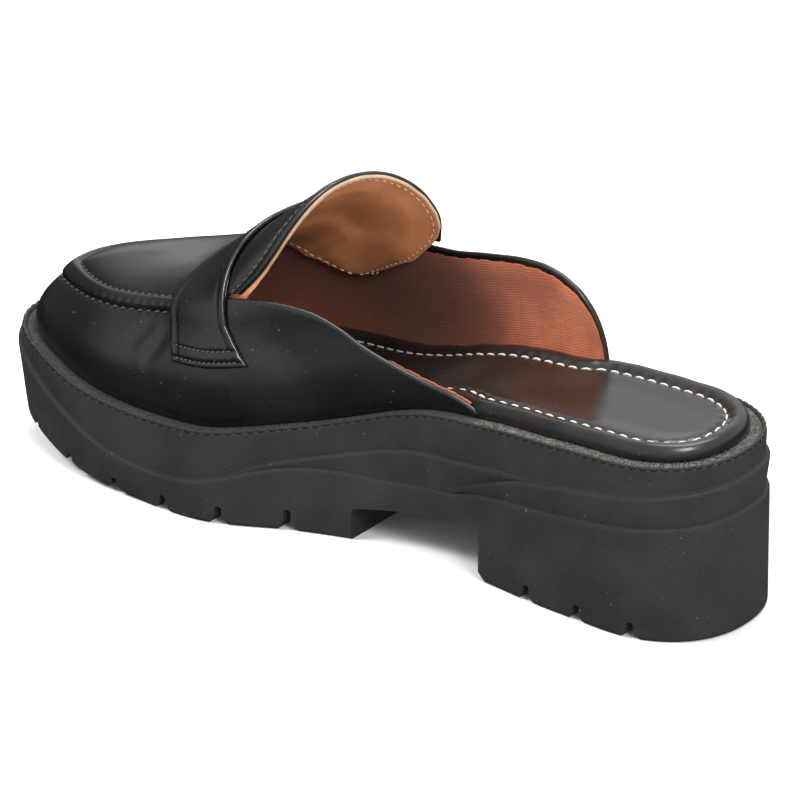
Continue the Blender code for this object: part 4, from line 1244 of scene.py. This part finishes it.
@dataclass
class Upper:
    """Vamp, quarters and apron: black leather folded at the topline over a cloth lining."""

    finishes: Finishes
    medial_end: float = 0.334
    lateral_end: float = 0.272
    leather: float = 0.00105
    fold_depth: float = 0.0045
    band_height: float = 0.0013
    band_start: float = 0.704
    quarter_columns: int = 96
    throat_columns: int = 10
    toe_columns: int = 170
    creases: tuple[Crease, ...] = CREASES

    def stations(self) -> tuple[Array, Array]:
        """Stations and sides of the columns, from the inner quarter round the toe to the outer."""
        halves = []
        for end in (self.medial_end, self.lateral_end):
            quarter = end + (LAST.throat_corner - end) * np.linspace(0, 1, self.quarter_columns) ** 1.1
            throat = np.linspace(LAST.throat_corner, LAST.throat_crest, self.throat_columns + 1)[1:]
            toe = np.linspace(float(PLAN.turn_of(LAST.throat_crest, 1)), 0.5, self.toe_columns + 1)[1:]
            halves.append(np.concatenate([quarter, throat, PLAN.station_of(toe)]))
        medial, lateral = halves[0], halves[1][:-1][::-1]
        side = np.concatenate([np.ones(len(medial)), -np.ones(len(lateral))])
        return np.concatenate([medial, lateral]), side

    def edge(self, station: Array, side: Array) -> Array:
        """Profile place where each column's wall ends: the topline, the throat or the crest."""
        line = np.where(side > 0, LAST.topline(station, Side.MEDIAL), LAST.topline(station, Side.LATERAL))
        return line + LAST.throat_rise(station) * (1 - line)

    def band_share(self, turn: Array, profile: Array) -> Array:
        """Place across the apron's raised band, 0 at its outer seam and 1 at its inner seam."""
        outer, inner = LAST.band_edges(turn)
        return (profile - outer) / (inner - outer)

    def relief(self, turn: Array, profile: Array) -> Array:
        """Height of the leather over the last.

        The band is a rounded roll between two sewn grooves, gathered at each stitch, and worn
        creases are troughs in the vamp.

        Args:
            turn: places on the ring.
            profile: places on the profiles.

        Returns:
            Heights along the outward direction.
        """
        share = self.band_share(turn, profile)
        station = PLAN.station_of(turn)
        start = ease((station - self.band_start) / 0.042)
        width = LAST.band_width * BAND.at("width", station)
        roll = np.clip(1 - np.abs(2 * share - 1) ** 2.6, 0, 1) ** 0.62
        walked = share * width
        beat = 0.5 + 0.5 * np.cos(2 * math.pi * self.seam_walk(turn) / 0.0033)
        groove = bell(walked, 0.0008) * (0.00040 + 0.00016 * beat)
        groove = groove + bell(walked - width, 0.0008) * (0.00034 + 0.00012 * beat)
        gather = 0.00014 * beat * bell(walked - 0.0015, 0.0012)
        return start * (self.band_height * roll - groove - gather)

    @cached_property
    def seam_table(self) -> tuple[Array, Array]:
        """Places on the ring and the distance walked along the outer seam to them."""
        turn = np.linspace(0.2, 0.8, 1201)
        return turn, run_length(LAST.landmarks(turn)[1])

    def seam_walk(self, turn: Array) -> Array:
        """Distance walked along the apron's outer seam."""
        return np.interp(turn, *self.seam_table)

    def outside(self, turn: Array, profile: Array, lift: float = 0.0) -> Array:
        """Outer face of the leather with its band, creases and a lift."""
        base = LAST.surface(turn, profile)
        height = self.relief(turn, profile) + lift
        for crease in self.creases:
            height = height + crease.height_at(base)
        return base + LAST.normal(turn, profile) * height[..., None]

    def grid(self) -> tuple[Array, Array, Array, Array]:
        """Columns, sides, rows and free edges of the wall's grid."""
        station, side = self.stations()
        turn = PLAN.turn_of(station, side)
        top = self.edge(station, side)
        start, end = (edge[:, None] for edge in LAST.band_edges(turn))
        wall = np.linspace(0, 1, 34)[:-1]
        band = np.linspace(0, 1, 22)
        plug = np.linspace(0, 1, 26)[1:]
        rows = np.concatenate([
            start * wall, start + band * (end - start), end + plug * (1 - end)], axis=1)
        free = LAST.throat_rise(station) < 1
        return turn, side, rows * top[:, None], free

    def build(self) -> None:
        """Leather wall, lining, binding and sewn rows."""
        turn, side, rows, free = self.grid()
        columns = np.broadcast_to(turn[:, None], rows.shape)
        top = rows[:, -1]
        radius = LAST.wall / 2
        edge_row = LAST.place_below(turn, top, np.where(free, radius, 0.0))
        outer = self.outside(columns, rows * (edge_row / top)[:, None])
        normal = LAST.normal(turn, edge_row)
        middle = LAST.surface(turn, edge_row) - normal * radius
        upward = unit(LAST.surface(turn, np.clip(edge_row + 0.004, 0, 1))
                      - LAST.surface(turn, edge_row - 0.004))
        swell = np.where(free, 1.0, 0.0) * (1 - LAST.throat_rise(PLAN.station_of(turn)))
        bead_angle = np.linspace(0, math.pi, 11)[1:]
        bead = (middle[:, None, :] + normal[:, None, :] * (np.cos(bead_angle) * radius)[None, :, None]
                + upward[:, None, :] * (np.sin(bead_angle) * radius)[None, :, None]
                * (0.25 + 0.75 * swell)[:, None, None])
        down = np.linspace(0, 1, 20)[1:]
        fall = edge_row[:, None] * (1 - down[None, :] ** 1.5)
        inner_columns = np.broadcast_to(turn[:, None], fall.shape)
        inner = LAST.surface(inner_columns, fall)
        depth = LAST.wall - (LAST.wall - self.leather) * ease((row_walk(inner) - self.fold_depth) / 0.0012)
        depth = np.where(free[:, None], depth, self.leather)
        inner = inner - LAST.normal(inner_columns, fall) * depth[..., None]
        inner[:, -1, 2] = PLAN.top(inner[:, -1, 0]) + LAST.seat_clearance
        grid = np.concatenate([outer, bead, inner], axis=1)
        count_rows, count_cols = grid.shape[:2]
        faces = grid_faces(count_rows, count_cols, 0, True)
        column_of = np.tile(np.arange(count_cols), count_rows - 1)
        row_of = np.repeat(np.arange(count_rows - 1), count_cols)
        last_outer = outer.shape[1] - 1
        in_bead = (column_of >= last_outer) & (column_of < last_outer + len(bead_angle))
        closed = ~(free[row_of] | free[row_of + 1])
        faces = faces[~(in_bead & closed)]
        caps = []
        for row in (0, count_rows - 1):
            caps.append(self.end_cap(row, count_cols, outer.shape[1], len(bead_angle)))
        faces = np.concatenate([faces, *caps])
        make_piece("upper_leather", grid.reshape(-1, 3), faces, self.finishes.upper, sharp=55)
        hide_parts("upper")
        self.build_lining(turn, top, free)
        self.sew_apron()

    def end_cap(self, row: int, columns: int, outer: int, bead: int) -> Array:
        """Faces that close a quarter's end, between its outer and its inner edge."""
        start = row * columns
        inner = columns - outer - bead
        across = np.linspace(0, outer - 1, inner + 1).astype(int)[::-1]
        far = np.concatenate([[outer + bead - 1], np.arange(outer + bead, columns)])
        faces = [[start + across[i], start + across[i + 1], start + far[i + 1], start + far[i]] for i in range(inner)]
        return np.array(faces)

    def build_lining(self, turn: Array, top: Array, free: Array) -> None:
        """Terracotta cloth inside the leather, lapped over the folded edge and cut a little below it."""
        station = PLAN.station_of(turn)
        walked = run_length(LAST.surface(turn, top * 0.5))
        fray = 0.00016 * np.sin(walked * 900) + 0.00012 * np.sin(walked * 2170 + 1.3)
        drop = 0.0021 + fray
        low_end = np.where(turn < 0.5, 1 - ease((station - 0.44) / 0.07), 0.0)
        drop = np.where(free, drop - 0.0020 * low_end, 0.0)
        edge = LAST.place_below(turn, top, drop)
        share = np.linspace(0, 1, 40)[None, :] ** 0.9
        rows = edge[:, None] * share
        columns = np.broadcast_to(turn[:, None], rows.shape)
        surface = LAST.surface(columns, rows)
        climbed = row_walk(surface)
        below = climbed[:, -1:] - climbed
        over_fold = np.where(free[:, None], 1 - ease((below - self.fold_depth + 0.0021) / 0.0070), 0.0)
        normal = LAST.normal(columns, rows)
        back_depth = self.leather + 0.00003 + (LAST.wall - self.leather) * over_fold
        face_depth = LAST.wall + 0.00042 * over_fold
        face = surface - normal * face_depth[..., None]
        back = surface - normal * back_depth[..., None]
        floor = PLAN.top(face[:, 0, 0]) + LAST.seat_clearance + 0.00002
        face[:, 0, 2] = floor
        back[:, 0, 2] = floor
        rounding = np.linspace(0, math.pi, 5)[1:-1]
        rim_mid = (face[:, -1] + back[:, -1]) / 2
        rim_arm = (face[:, -1] - back[:, -1]) / 2
        upward = unit(surface[:, -1] - surface[:, -2])
        half = np.linalg.norm(rim_arm, axis=-1)[:, None]
        rim = np.stack([rim_mid + rim_arm * math.cos(a) + upward * half * math.sin(a) * free[:, None]
                        for a in rounding], axis=1)
        grid = np.concatenate([face, rim, back[:, ::-1]], axis=1)
        count_rows, count_cols = grid.shape[:2]
        faces = grid_faces(count_rows, count_cols, 0, True)
        column_of = np.tile(np.arange(count_cols), count_rows - 1)
        row_of = np.repeat(np.arange(count_rows - 1), count_cols)
        in_rim = (column_of >= face.shape[1] - 1) & (column_of < face.shape[1] + len(rounding))
        closed = ~(free[row_of] | free[row_of + 1])
        keep = ~(in_rim & closed)
        height = np.concatenate([climbed, climbed[:, -1:] + np.zeros((1, len(rounding))),
                                 climbed[:, ::-1], climbed[:, :1]], axis=1)
        cloth = np.stack([np.broadcast_to(walked[:, None], height.shape), height], axis=-1)
        weave = corner_cloth(cloth, count_rows, count_cols, True)[keep]
        faces = faces[keep]
        size = face.shape[1]
        caps, cap_cloth = [], []
        for row in (0, count_rows - 1):
            start = row * count_cols
            low = np.arange(size - 1)
            cap = np.stack([start + low, start + low + 1, start + count_cols - 2 - low, start + count_cols - 1 - low], axis=-1)
            caps.append(cap)
            cap_cloth.append(np.zeros((len(cap), 4, 2)))
        faces = np.concatenate([faces, *caps])
        weave = np.concatenate([weave, *cap_cloth])
        # Painted shade on the lining, rising from station 0.33 to full by 0.55, towards the throat.
        painted_throat_shade = np.broadcast_to(ease((station - 0.33) / 0.22)[:, None], (count_rows, count_cols))
        make_piece("quarter_lining", grid.reshape(-1, 3), faces, self.finishes.lining, weave,
                   painted_throat_shade.ravel(), sharp=60)

    def sew_apron(self) -> None:
        """Black stitches in the apron's outer and inner grooves."""
        start = float(PLAN.turn_of(0.722, 1))
        turn = np.linspace(start, 1 - start, 900)
        for name, share, pitch, length, radius in (
                ("apron_outer_stitches", 0.0, 0.0033, 0.0025, 0.00036),
                ("apron_inner_stitches", 1.0, 0.0027, 0.0019, 0.00030)):
            outer, inner = LAST.band_edges(turn)
            profile = outer + share * (inner - outer)
            path = self.outside(turn, profile)
            StitchRow(name, pitch, length, radius, sink=0.2, lean=0.0004).sew(
                path, LAST.normal(turn, profile), self.finishes.black_thread, Slot.UPPER)


@dataclass
class Strap:
    """Saddle strap over the instep with rolled edges and two sewn rows at each foot."""

    finishes: Finishes
    upper: Upper
    thickness: float = 0.0017
    clearance: float = 0.00045
    foot_width: float = 0.0290
    half_rows: int = 130
    face_columns: int = 44

    def swell(self, turn: Array, profile: Array) -> Array:
        """Soft rise where the strap passes over the apron's band."""
        share = self.upper.band_share(turn, profile)
        return 0.0011 * bell(share - 0.5, 0.95) * ease((PLAN.station_of(turn) - 0.66) / 0.06)

    def station(self, profile: Array, across: Array) -> Array:
        """Station at a place along and across the strap; across runs from 0.5 front to -0.5 back."""
        width = self.foot_width / PLAN.length * STRAP_SECTIONS.at("width", profile)
        return STRAP_SECTIONS.at("centre", profile) + across * width

    def surface(self, turn: Array, profile: Array, height: Array) -> Array:
        """Point over the last, on top of the band's swell."""
        lift = self.swell(turn, profile) + height
        return LAST.surface(turn, profile) + LAST.normal(turn, profile) * lift[..., None]

    def build(self) -> None:
        """Carry a rounded flat section from the inner foot over the crest to the outer foot."""
        foot = STRAP_SECTIONS.values[0, 0]
        half = foot + (1 - foot) * np.linspace(0, 1, self.half_rows)
        profile = np.concatenate([half, half[-2::-1]])
        side = np.where(np.arange(len(profile)) < len(half) - 0.5, 1.0, -1.0)
        edge = np.linspace(0, math.pi, 9)[1:-1]
        flat = np.linspace(0.5, -0.5, self.face_columns)
        across = np.concatenate([flat, np.full(len(edge), -0.5), flat[::-1], np.full(len(edge), 0.5)])
        out = np.concatenate([np.zeros(len(flat)), -np.sin(edge), np.zeros(len(flat)), np.sin(edge)])
        level = np.concatenate([np.ones(len(flat)), 0.5 + 0.5 * np.cos(edge), np.zeros(len(flat)), 0.5 - 0.5 * np.cos(edge)])
        width_m = self.foot_width * STRAP_SECTIONS.at("width", profile)
        radius = self.thickness / 2
        inner_share = 1 - 2 * radius / width_m
        place = across[None, :] * inner_share[:, None] + out[None, :] * (radius / width_m)[:, None]
        station = self.station(profile[:, None], place)
        turn = PLAN.turn_of(station, side[:, None])
        rows = np.broadcast_to(profile[:, None], turn.shape)
        from_end = np.minimum(np.arange(len(profile)), np.arange(len(profile))[::-1])
        end_walk = (half[np.minimum(from_end, len(half) - 1)] - foot) * 2 * 0.031
        end_round = np.sqrt(np.clip(1 - (1 - np.clip(end_walk / 0.0009, 0, 1)) ** 2, 0.02, 1))
        edge_dip = 1 - 0.10 * bell((np.abs(place) - 0.5) * width_m[:, None] + 0.0030, 0.0008)
        stitched = self.foot_relief(end_walk[:, None], place * width_m[:, None])
        base = self.clearance * 0.35
        height = base + level[None, :] * (self.thickness * end_round[:, None] * np.where(level[None, :] > 0.99, edge_dip, 1.0)
                                          + np.where(level[None, :] > 0.99, stitched, 0.0))
        grid = self.surface(turn, rows, height)
        count_rows, count_cols = grid.shape[:2]
        faces = grid_faces(count_rows, count_cols, 0, True)
        caps = []
        size = len(flat)
        for row in (0, count_rows - 1):
            start = row * count_cols
            low = np.arange(size - 1)
            back = start + size + len(edge) + size - 1
            caps.append(np.stack([start + low, start + low + 1, back - low - 1, back - low], axis=-1))
        faces = np.concatenate([faces, *caps])
        strap = make_piece("saddle_strap", grid.reshape(-1, 3), faces, self.finishes.upper, sharp=60)
        shape = bmesh.new()
        shape.from_mesh(strap.data)
        bmesh.ops.holes_fill(shape, edges=[e for e in shape.edges if e.is_boundary], sides=0)
        bmesh.ops.recalc_face_normals(shape, faces=shape.faces)
        shape.to_mesh(strap.data)
        shape.free()
        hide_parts("strap")
        self.sew(foot)

    def foot_relief(self, from_end: Array, across: Array) -> Array:
        """Troughs under the foot's two sewn rows, with gathered leather between them."""
        rows = bell(from_end - 0.0017, 0.0006) + bell(from_end - 0.0052, 0.0006)
        beat = np.cos(2 * math.pi * across / 0.0016)
        between = bell(from_end - 0.0034, 0.0013) * (0.00016 + 0.00008 * beat)
        return -0.00022 * rows + between

    def sew(self, foot: float) -> None:
        """Two rows across each foot, joined at their ends as a box."""
        for side in Side:
            for number, walk in enumerate((0.0017, 0.0052)):
                profile = np.full(160, foot + walk / 0.062)
                width = self.foot_width * float(STRAP_SECTIONS.at("width", np.array(profile[0])))
                place = np.linspace(0.5, -0.5, 160) * (1 - 0.0042 / width)
                turn = PLAN.turn_of(self.station(profile, place), side.value)
                height = np.full(160, self.clearance * 0.35 + self.thickness - 0.00012)
                path = self.surface(turn, profile, height)
                name = f"strap_stitches_{side.name.lower()}_{number + 1}"
                StitchRow(name, 0.0016, 0.0011, 0.00025, sink=0.1, lean=0.0003).sew(
                    path, LAST.normal(turn, profile), self.finishes.black_thread, Slot.STRAP)


@dataclass
class Tongue:
    """Tongue behind the strap: leather with a folded beaded edge over a padded tan lining."""

    finishes: Finishes
    thickness: float = 0.0022
    leather: float = 0.0011
    seam_clearance: float = 0.0004
    half_rows: int = 90
    columns: int = 46
    pad_swell: float = 0.0010
    lining_rows: int = 100
    sheet: float = 0.0010
    cloth: float = 0.0005
    channel: float = 0.00018
    fold: float = 0.0004
    fold_lean: tuple[float, float, float] = (0.62, 0.0, 0.78)
    fold_place: float = 0.0825
    tack_station: float = 0.628
    tack_profile: float = 0.415
    tack_depth: float = 0.0034

    def halves(self, share: Array, inner_share: float = 0.0) -> tuple[Array, Array, Array, Array]:
        """Places of the tongue's grid, from the inner corner over the crest to the outer corner.

        Args:
            share: places from the front (0) to the free edge (1).
            inner_share: how far ahead of the throat the front stands, as a station.

        Returns:
            Turn, profile, rise and side of every point.
        """
        rise = np.linspace(0, 1, self.half_rows)
        gap = self.seam_clearance / PLAN.length
        front = LAST.throat_corner + (LAST.throat_crest - LAST.throat_corner) * rise - gap + inner_share
        parts = []
        for side, name in ((Side.MEDIAL, "medial"), (Side.LATERAL, "lateral")):
            back = TONGUE_EDGE.at(name, rise)
            station = front[:, None] + share[None, :] * (back - front)[:, None]
            low = LAST.topline(station.ravel(), side).reshape(station.shape) + self.seam_clearance / LAST.seam_height
            profile = low + rise[:, None] * (1 - low)
            turn = PLAN.turn_of(station, np.full(station.shape, side.value))
            parts.append((turn, profile, np.broadcast_to(rise[:, None], station.shape), np.full(station.shape, side.value)))
        medial, lateral = parts
        return tuple(np.concatenate([a, b[-2::-1]]) for a, b in zip(medial, lateral))

    def build(self) -> None:
        """Leather face, lining, raw edge and both sewn rows."""
        self.build_leather()
        self.build_lining()
        self.sew_edge()

    def wall(self, outer: Array, inner: Array, rim: Array) -> tuple[Array, Array]:
        """Close a face and a back with a rim on the free edge.

        Args:
            outer: face grid, the last column on the free edge.
            inner: back grid of the same columns.
            rim: rows of points between them round the free edge.

        Returns:
            Points and faces.
        """
        grid = np.concatenate([outer, rim, inner[:, ::-1]], axis=1)
        rows, columns = grid.shape[:2]
        faces = grid_faces(rows, columns, 0, True)
        caps = []
        size = outer.shape[1]
        for row in (0, rows - 1):
            start = row * columns
            low = np.arange(size - 1)
            caps.append(np.stack([start + low, start + low + 1, start + columns - 2 - low, start + columns - 1 - low], axis=-1))
        return grid.reshape(-1, 3), np.concatenate([faces, *caps])

    def rounded_rim(self, outer: Array, inner: Array, before: Array, bulge: float) -> Array:
        """Half-round rim from the last points of the face to those of the back."""
        middle, arm = (outer + inner) / 2, (outer - inner) / 2
        away = unit(outer - before)
        half = np.linalg.norm(arm, axis=-1)[:, None] * bulge
        angle = np.linspace(0, math.pi, 8)[1:-1]
        return np.stack([middle + arm * math.cos(a) + away * half * math.sin(a) for a in angle], axis=1)

    def build_leather(self) -> None:
        """Black face: smooth, with a sewn channel and a bead along the free edge."""
        share = 1 - (1 - np.linspace(0, 1, self.columns)) ** 1.5
        turn, profile, rise, side = self.halves(share)
        base, normal = LAST.surface(turn, profile), LAST.normal(turn, profile)
        from_edge = self.edge_distance(base)
        bead = 0.00045 * bell(from_edge - 0.0009, 0.0010)
        channel = -0.00028 * bell(from_edge - 0.0034, 0.0007)
        height = bead + channel
        outer = base + normal * height[..., None]
        inner = base - normal * self.leather
        rim = self.rounded_rim(outer[:, -1], inner[:, -1], outer[:, -3], 0.9)
        points, faces = self.wall(outer, inner, rim)
        piece = make_piece("tongue_leather", points, faces, self.finishes.upper, sharp=60)
        self.close(piece)
        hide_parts("tongue")

    def close(self, piece: bpy.types.Object) -> None:
        """Fill what is open at the tongue's corners and turn all faces outward."""
        shape = bmesh.new()
        shape.from_mesh(piece.data)
        bmesh.ops.holes_fill(shape, edges=[e for e in shape.edges if e.is_boundary], sides=0)
        bmesh.ops.recalc_face_normals(shape, faces=shape.faces)
        shape.to_mesh(piece.data)
        shape.free()

    def edge_distance(self, base: Array) -> Array:
        """Distance of every point of a row from its free edge."""
        walked = row_walk(base)
        return walked[:, -1:] - walked

    def lining_places(self, share: Array) -> tuple[Array, Array]:
        """Places on the ring and on the profiles of the tan lining.

        Args:
            share: places from the free edge (0) to the seam under the vamp (1).

        Returns:
            Turn and profile, from the inner corner over the crest to the outer corner.
        """
        rise = np.linspace(0, 1, self.lining_rows)
        halves = []
        for side in Side:
            free_station, free_profile, sewn_station, sewn_profile = (
                TONGUE_LINING[side].at(name, rise)[:, None] for name in LINING_COLUMNS[1:])
            station = free_station + share * (sewn_station - free_station)
            profile = free_profile + share * (sewn_profile - free_profile)
            halves.append((PLAN.turn_of(station, side.value), profile))
        return tuple(np.concatenate([inner, outer[-2::-1]]) for inner, outer in zip(*halves))

    def lining_depth(self, turn: Array, profile: Array) -> Array:
        """Depth of the tan lining's back: on the tongue's leather, deeper over the cloth lining."""
        station = PLAN.station_of(turn)
        line = np.where(turn < 0.5, LAST.topline(station.ravel(), Side.MEDIAL).reshape(turn.shape),
                        LAST.topline(station.ravel(), Side.LATERAL).reshape(turn.shape))
        front = LAST.throat_corner + (LAST.throat_crest - LAST.throat_corner) * np.clip(
            (profile - line) / np.maximum(1 - line, TINY), 0, 1)
        below = ease((line - profile + 0.050) / 0.080)
        ahead = ease((station - front + 0.012) / 0.024)
        cover = 1 - (1 - below) * (1 - ahead)
        return self.leather + 0.00005 + (LAST.wall + self.cloth - self.leather) * cover

    def build_lining(self) -> None:
        """Tan lining, padded in the middle, a little past the black edge and on under the vamp."""
        share = 0.5 - 0.5 * np.cos(math.pi * np.linspace(0, 1, self.columns))
        turn, profile = self.lining_places(share[None, :])
        base, normal = LAST.surface(turn, profile), LAST.normal(turn, profile)
        depth = self.lining_depth(turn, profile)
        row = np.linspace(-1, 1, len(base))[:, None]
        steps = run_length(base[len(base) // 2])[-1]
        from_edge = share * steps
        pad = self.pad_swell * ease((from_edge - 0.0030) / 0.008) * ease((1 - share) / 0.25)
        pad = pad * (1 - np.abs(row) ** 4) - self.channel * (bell(from_edge - 0.0021, 0.0007))
        fold = self.fold * bell(base @ unit(np.array(self.fold_lean)) - self.fold_place, 0.0016)
        sheet = self.sheet + pad + fold * (turn > 0.5) * ease((from_edge - 0.004) / 0.01)
        fray = 0.00010 * np.sin(np.arange(len(base)) * 0.9)
        face = base - normal * (depth + sheet)[..., None]
        back = base - normal * depth[..., None]
        away = unit(base[:, 0] - base[:, 2]) * (0.0001 + fray)[:, None]
        face[:, 0] += away
        back[:, 0] += away
        front = self.rounded_rim(face[:, -1], back[:, -1], face[:, -3], 0.6)
        rear = self.rounded_rim(back[:, 0], face[:, 0], back[:, 2], 0.4)
        points, faces = self.wall(np.concatenate([rear, face], axis=1), back, front)
        piece = make_piece("tongue_lining", points, faces, self.finishes.tan, sharp=60)
        self.close(piece)
        self.trim_edge((face[:, 0] + back[:, 0]) / 2, unit(base[:, 0] - base[:, 2]), normal[:, 0])
        self.sew_lining(turn, base, normal, depth + sheet)

    def trim_edge(self, path: Array, away: Array, normal: Array) -> None:
        """Pale cut edge of the tan leather, a flat oval strip along its free edge."""
        angle = np.arange(10) / 10 * 2 * math.pi
        free = slice(10, len(path) - 10)
        path, away, normal = path[free], away[free], normal[free]
        taper = np.sin(np.linspace(0.02, math.pi - 0.02, len(path))) ** 0.3
        rings = (path + away * 0.0001)[:, None, :] + taper[:, None, None] * (
            away[:, None, :] * (np.cos(angle) * 0.00028)[None, :, None]
            + normal[:, None, :] * (np.sin(angle) * self.sheet * 0.56)[None, :, None])
        faces = grid_faces(len(path), len(angle), 0, True)
        piece = make_piece("tongue_cut_edge", rings.reshape(-1, 3), faces, self.finishes.raw_edge,
                           sharp=80)
        self.close(piece)

    def sew_lining(self, turn: Array, base: Array, normal: Array, depth: Array) -> None:
        """Tan stitches along the free edge and along the seam under the vamp, and a small bar tack."""
        row = np.arange(len(base))
        walked = row_walk(base)
        face = base - normal * depth[..., None]
        keep = slice(6, len(base) - 6)
        for name, distance in (("tongue_lining_edge_stitches", walked),
                               ("tongue_lining_seam_stitches", walked[:, -1:] - walked)):
            index = np.argmin(np.abs(distance - 0.0021), axis=1)
            StitchRow(name, 0.0026, 0.0018, 0.00024, sink=0.2).sew(
                face[row, index][keep], -normal[row, index][keep], self.finishes.cream_thread, Slot.TONGUE)
        place = PLAN.turn_of(self.tack_station, Side.LATERAL.value)
        low, high = (LAST.surface(place, np.array(self.tack_profile + step)) for step in (-0.035, 0.035))
        ahead, astern = (LAST.surface(PLAN.turn_of(self.tack_station + step, Side.LATERAL.value),
                                      np.array(self.tack_profile)) for step in (-0.010, 0.010))
        up = -LAST.normal(place, np.array(self.tack_profile))
        for number, (start, end) in enumerate(((low, ahead), (high, astern), (ahead, high), (astern, low))):
            share = np.linspace(0, 1, 12)[:, None]
            path = start + (end - start) * share + up * self.tack_depth
            StitchRow(f"tongue_tack_{number + 1}", 0.0020, 0.0018, 0.00022, sink=0.1).sew(
                path, np.broadcast_to(up, path.shape), self.finishes.cream_thread, Slot.TONGUE)

    def sew_edge(self) -> None:
        """Black stitches in the channel behind the bead."""
        turn, profile, rise, side = self.halves(np.linspace(0, 1, 60))
        base, normal = LAST.surface(turn, profile), LAST.normal(turn, profile)
        from_edge = self.edge_distance(base)
        index = np.argmin(np.abs(from_edge - 0.0034), axis=1)
        row = np.arange(len(base))
        path, up = base[row, index] - normal[row, index] * 0.0002, normal[row, index]
        StitchRow("tongue_stitches", 0.0026, 0.0019, 0.00028, sink=0.2).sew(
            path, up, self.finishes.black_thread, Slot.TONGUE)


@dataclass
class Studio:
    """Pale floor, soft boxes and the camera at the photograph's angle."""

    azimuth: float = 215.4
    elevation: float = 24.454
    distance: float = 2.635
    target: tuple[float, float, float] = (-0.02189, 0.03339, 0.05199)
    lens: float = 401.1

    def build(self) -> None:
        """Set the camera, the floor and the lights."""
        self.place_camera()
        self.lay_floor()
        self.hang_lights()

    def place_camera(self) -> None:
        """Camera on a line from the target, level and without shift."""
        azimuth, elevation = math.radians(self.azimuth), math.radians(self.elevation)
        back = Vector((math.sin(azimuth) * math.cos(elevation), -math.cos(azimuth) * math.cos(elevation),
                       math.sin(elevation)))
        camera = bpy.data.objects.new("camera", bpy.data.cameras.new("camera"))
        camera.location = Vector(self.target) + back * self.distance
        camera.rotation_euler = (math.radians(90) - elevation, 0.0, azimuth)
        camera.data.lens = self.lens
        camera.data.sensor_width = 36.0
        bpy.context.collection.objects.link(camera)
        bpy.context.scene.camera = camera

    def lay_floor(self) -> None:
        """Wide flat floor under the sole."""
        mesh = bpy.data.meshes.new("floor")
        reach = 6.0
        mesh.from_pydata([(-reach, -reach, 0), (reach, -reach, 0), (reach, reach, 0), (-reach, reach, 0)], [],
                         [(0, 1, 2, 3)])
        mesh.materials.append(FloorFinish().build())
        floor = bpy.data.objects.new("floor", mesh)
        floor.visible_glossy = False
        bpy.context.collection.objects.link(floor)

    def hang_lights(self) -> None:
        """Soft boxes overhead, behind and high beside the heel."""
        for name, place, size, power in (
                ("overhead", (0.0, -0.5, 1.8), (1.4, 1.1), 26.0),
                ("heel_side", (-1.5, 0.9, 1.5), (0.7, 0.7), 32.0),
                ("toe_side", (1.1, 0.8, 1.35), (0.6, 0.6), 34.0)):
            light = bpy.data.lights.new(name, "AREA")
            light.shape, light.size, light.size_y, light.energy = "RECTANGLE", size[0], size[1], power
            lamp = bpy.data.objects.new(name, light)
            lamp.location = place
            lamp.rotation_euler = (Vector((0, 0, 0.04)) - Vector(place)).to_track_quat("-Z", "Y").to_euler()
            lamp.visible_glossy = name != "toe_side"
            bpy.context.collection.objects.link(lamp)
        bpy.context.scene.world = self.build_room()
        bpy.context.scene.view_settings.view_transform = "Standard"

    def build_room(self) -> bpy.types.World:
        """White room, dim below the horizon and beyond the toe, by the direction that is looked in."""
        world = bpy.data.worlds.new("room")
        world.use_nodes = True
        tree = world.node_tree
        direction = tree.nodes.new("ShaderNodeSeparateXYZ")
        tree.links.new(tree.nodes.new("ShaderNodeTexCoord").outputs["Generated"], direction.inputs[0])
        shares = []
        for axis, low, high, start, end in ((2, -0.10, 0.12, 0.07, 0.88), (0, 0.64, 0.86, 1.0, 0.14)):
            ramp = tree.nodes.new("ShaderNodeMapRange")
            ramp.interpolation_type = "SMOOTHSTEP"
            tree.links.new(direction.outputs[axis], ramp.inputs["Value"])
            for socket, value in zip(("From Min", "From Max", "To Min", "To Max"), (low, high, start, end)):
                ramp.inputs[socket].default_value = value
            shares.append(ramp.outputs["Result"])
        both = tree.nodes.new("ShaderNodeMath")
        both.operation = "MULTIPLY"
        for number, share in enumerate(shares):
            tree.links.new(share, both.inputs[number])
        background = tree.nodes["Background"]
        background.inputs["Color"].default_value = (1.0, 1.0, 1.0, 1.0)
        tree.links.new(both.outputs[0], background.inputs["Strength"])
        return world


def main() -> None:
    """Build the shoe from the ground up."""
    logging.basicConfig(level=logging.INFO, format="%(name)s: %(message)s")
    finishes = Finishes.mix()
    Studio().build()
    SoleUnit(finishes).build()
    Footbed(finishes).build()
    upper = Upper(finishes)
    upper.build()
    Strap(finishes, upper).build()
    Tongue(finishes).build()
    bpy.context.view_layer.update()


if __name__ == "__main__":
    main()
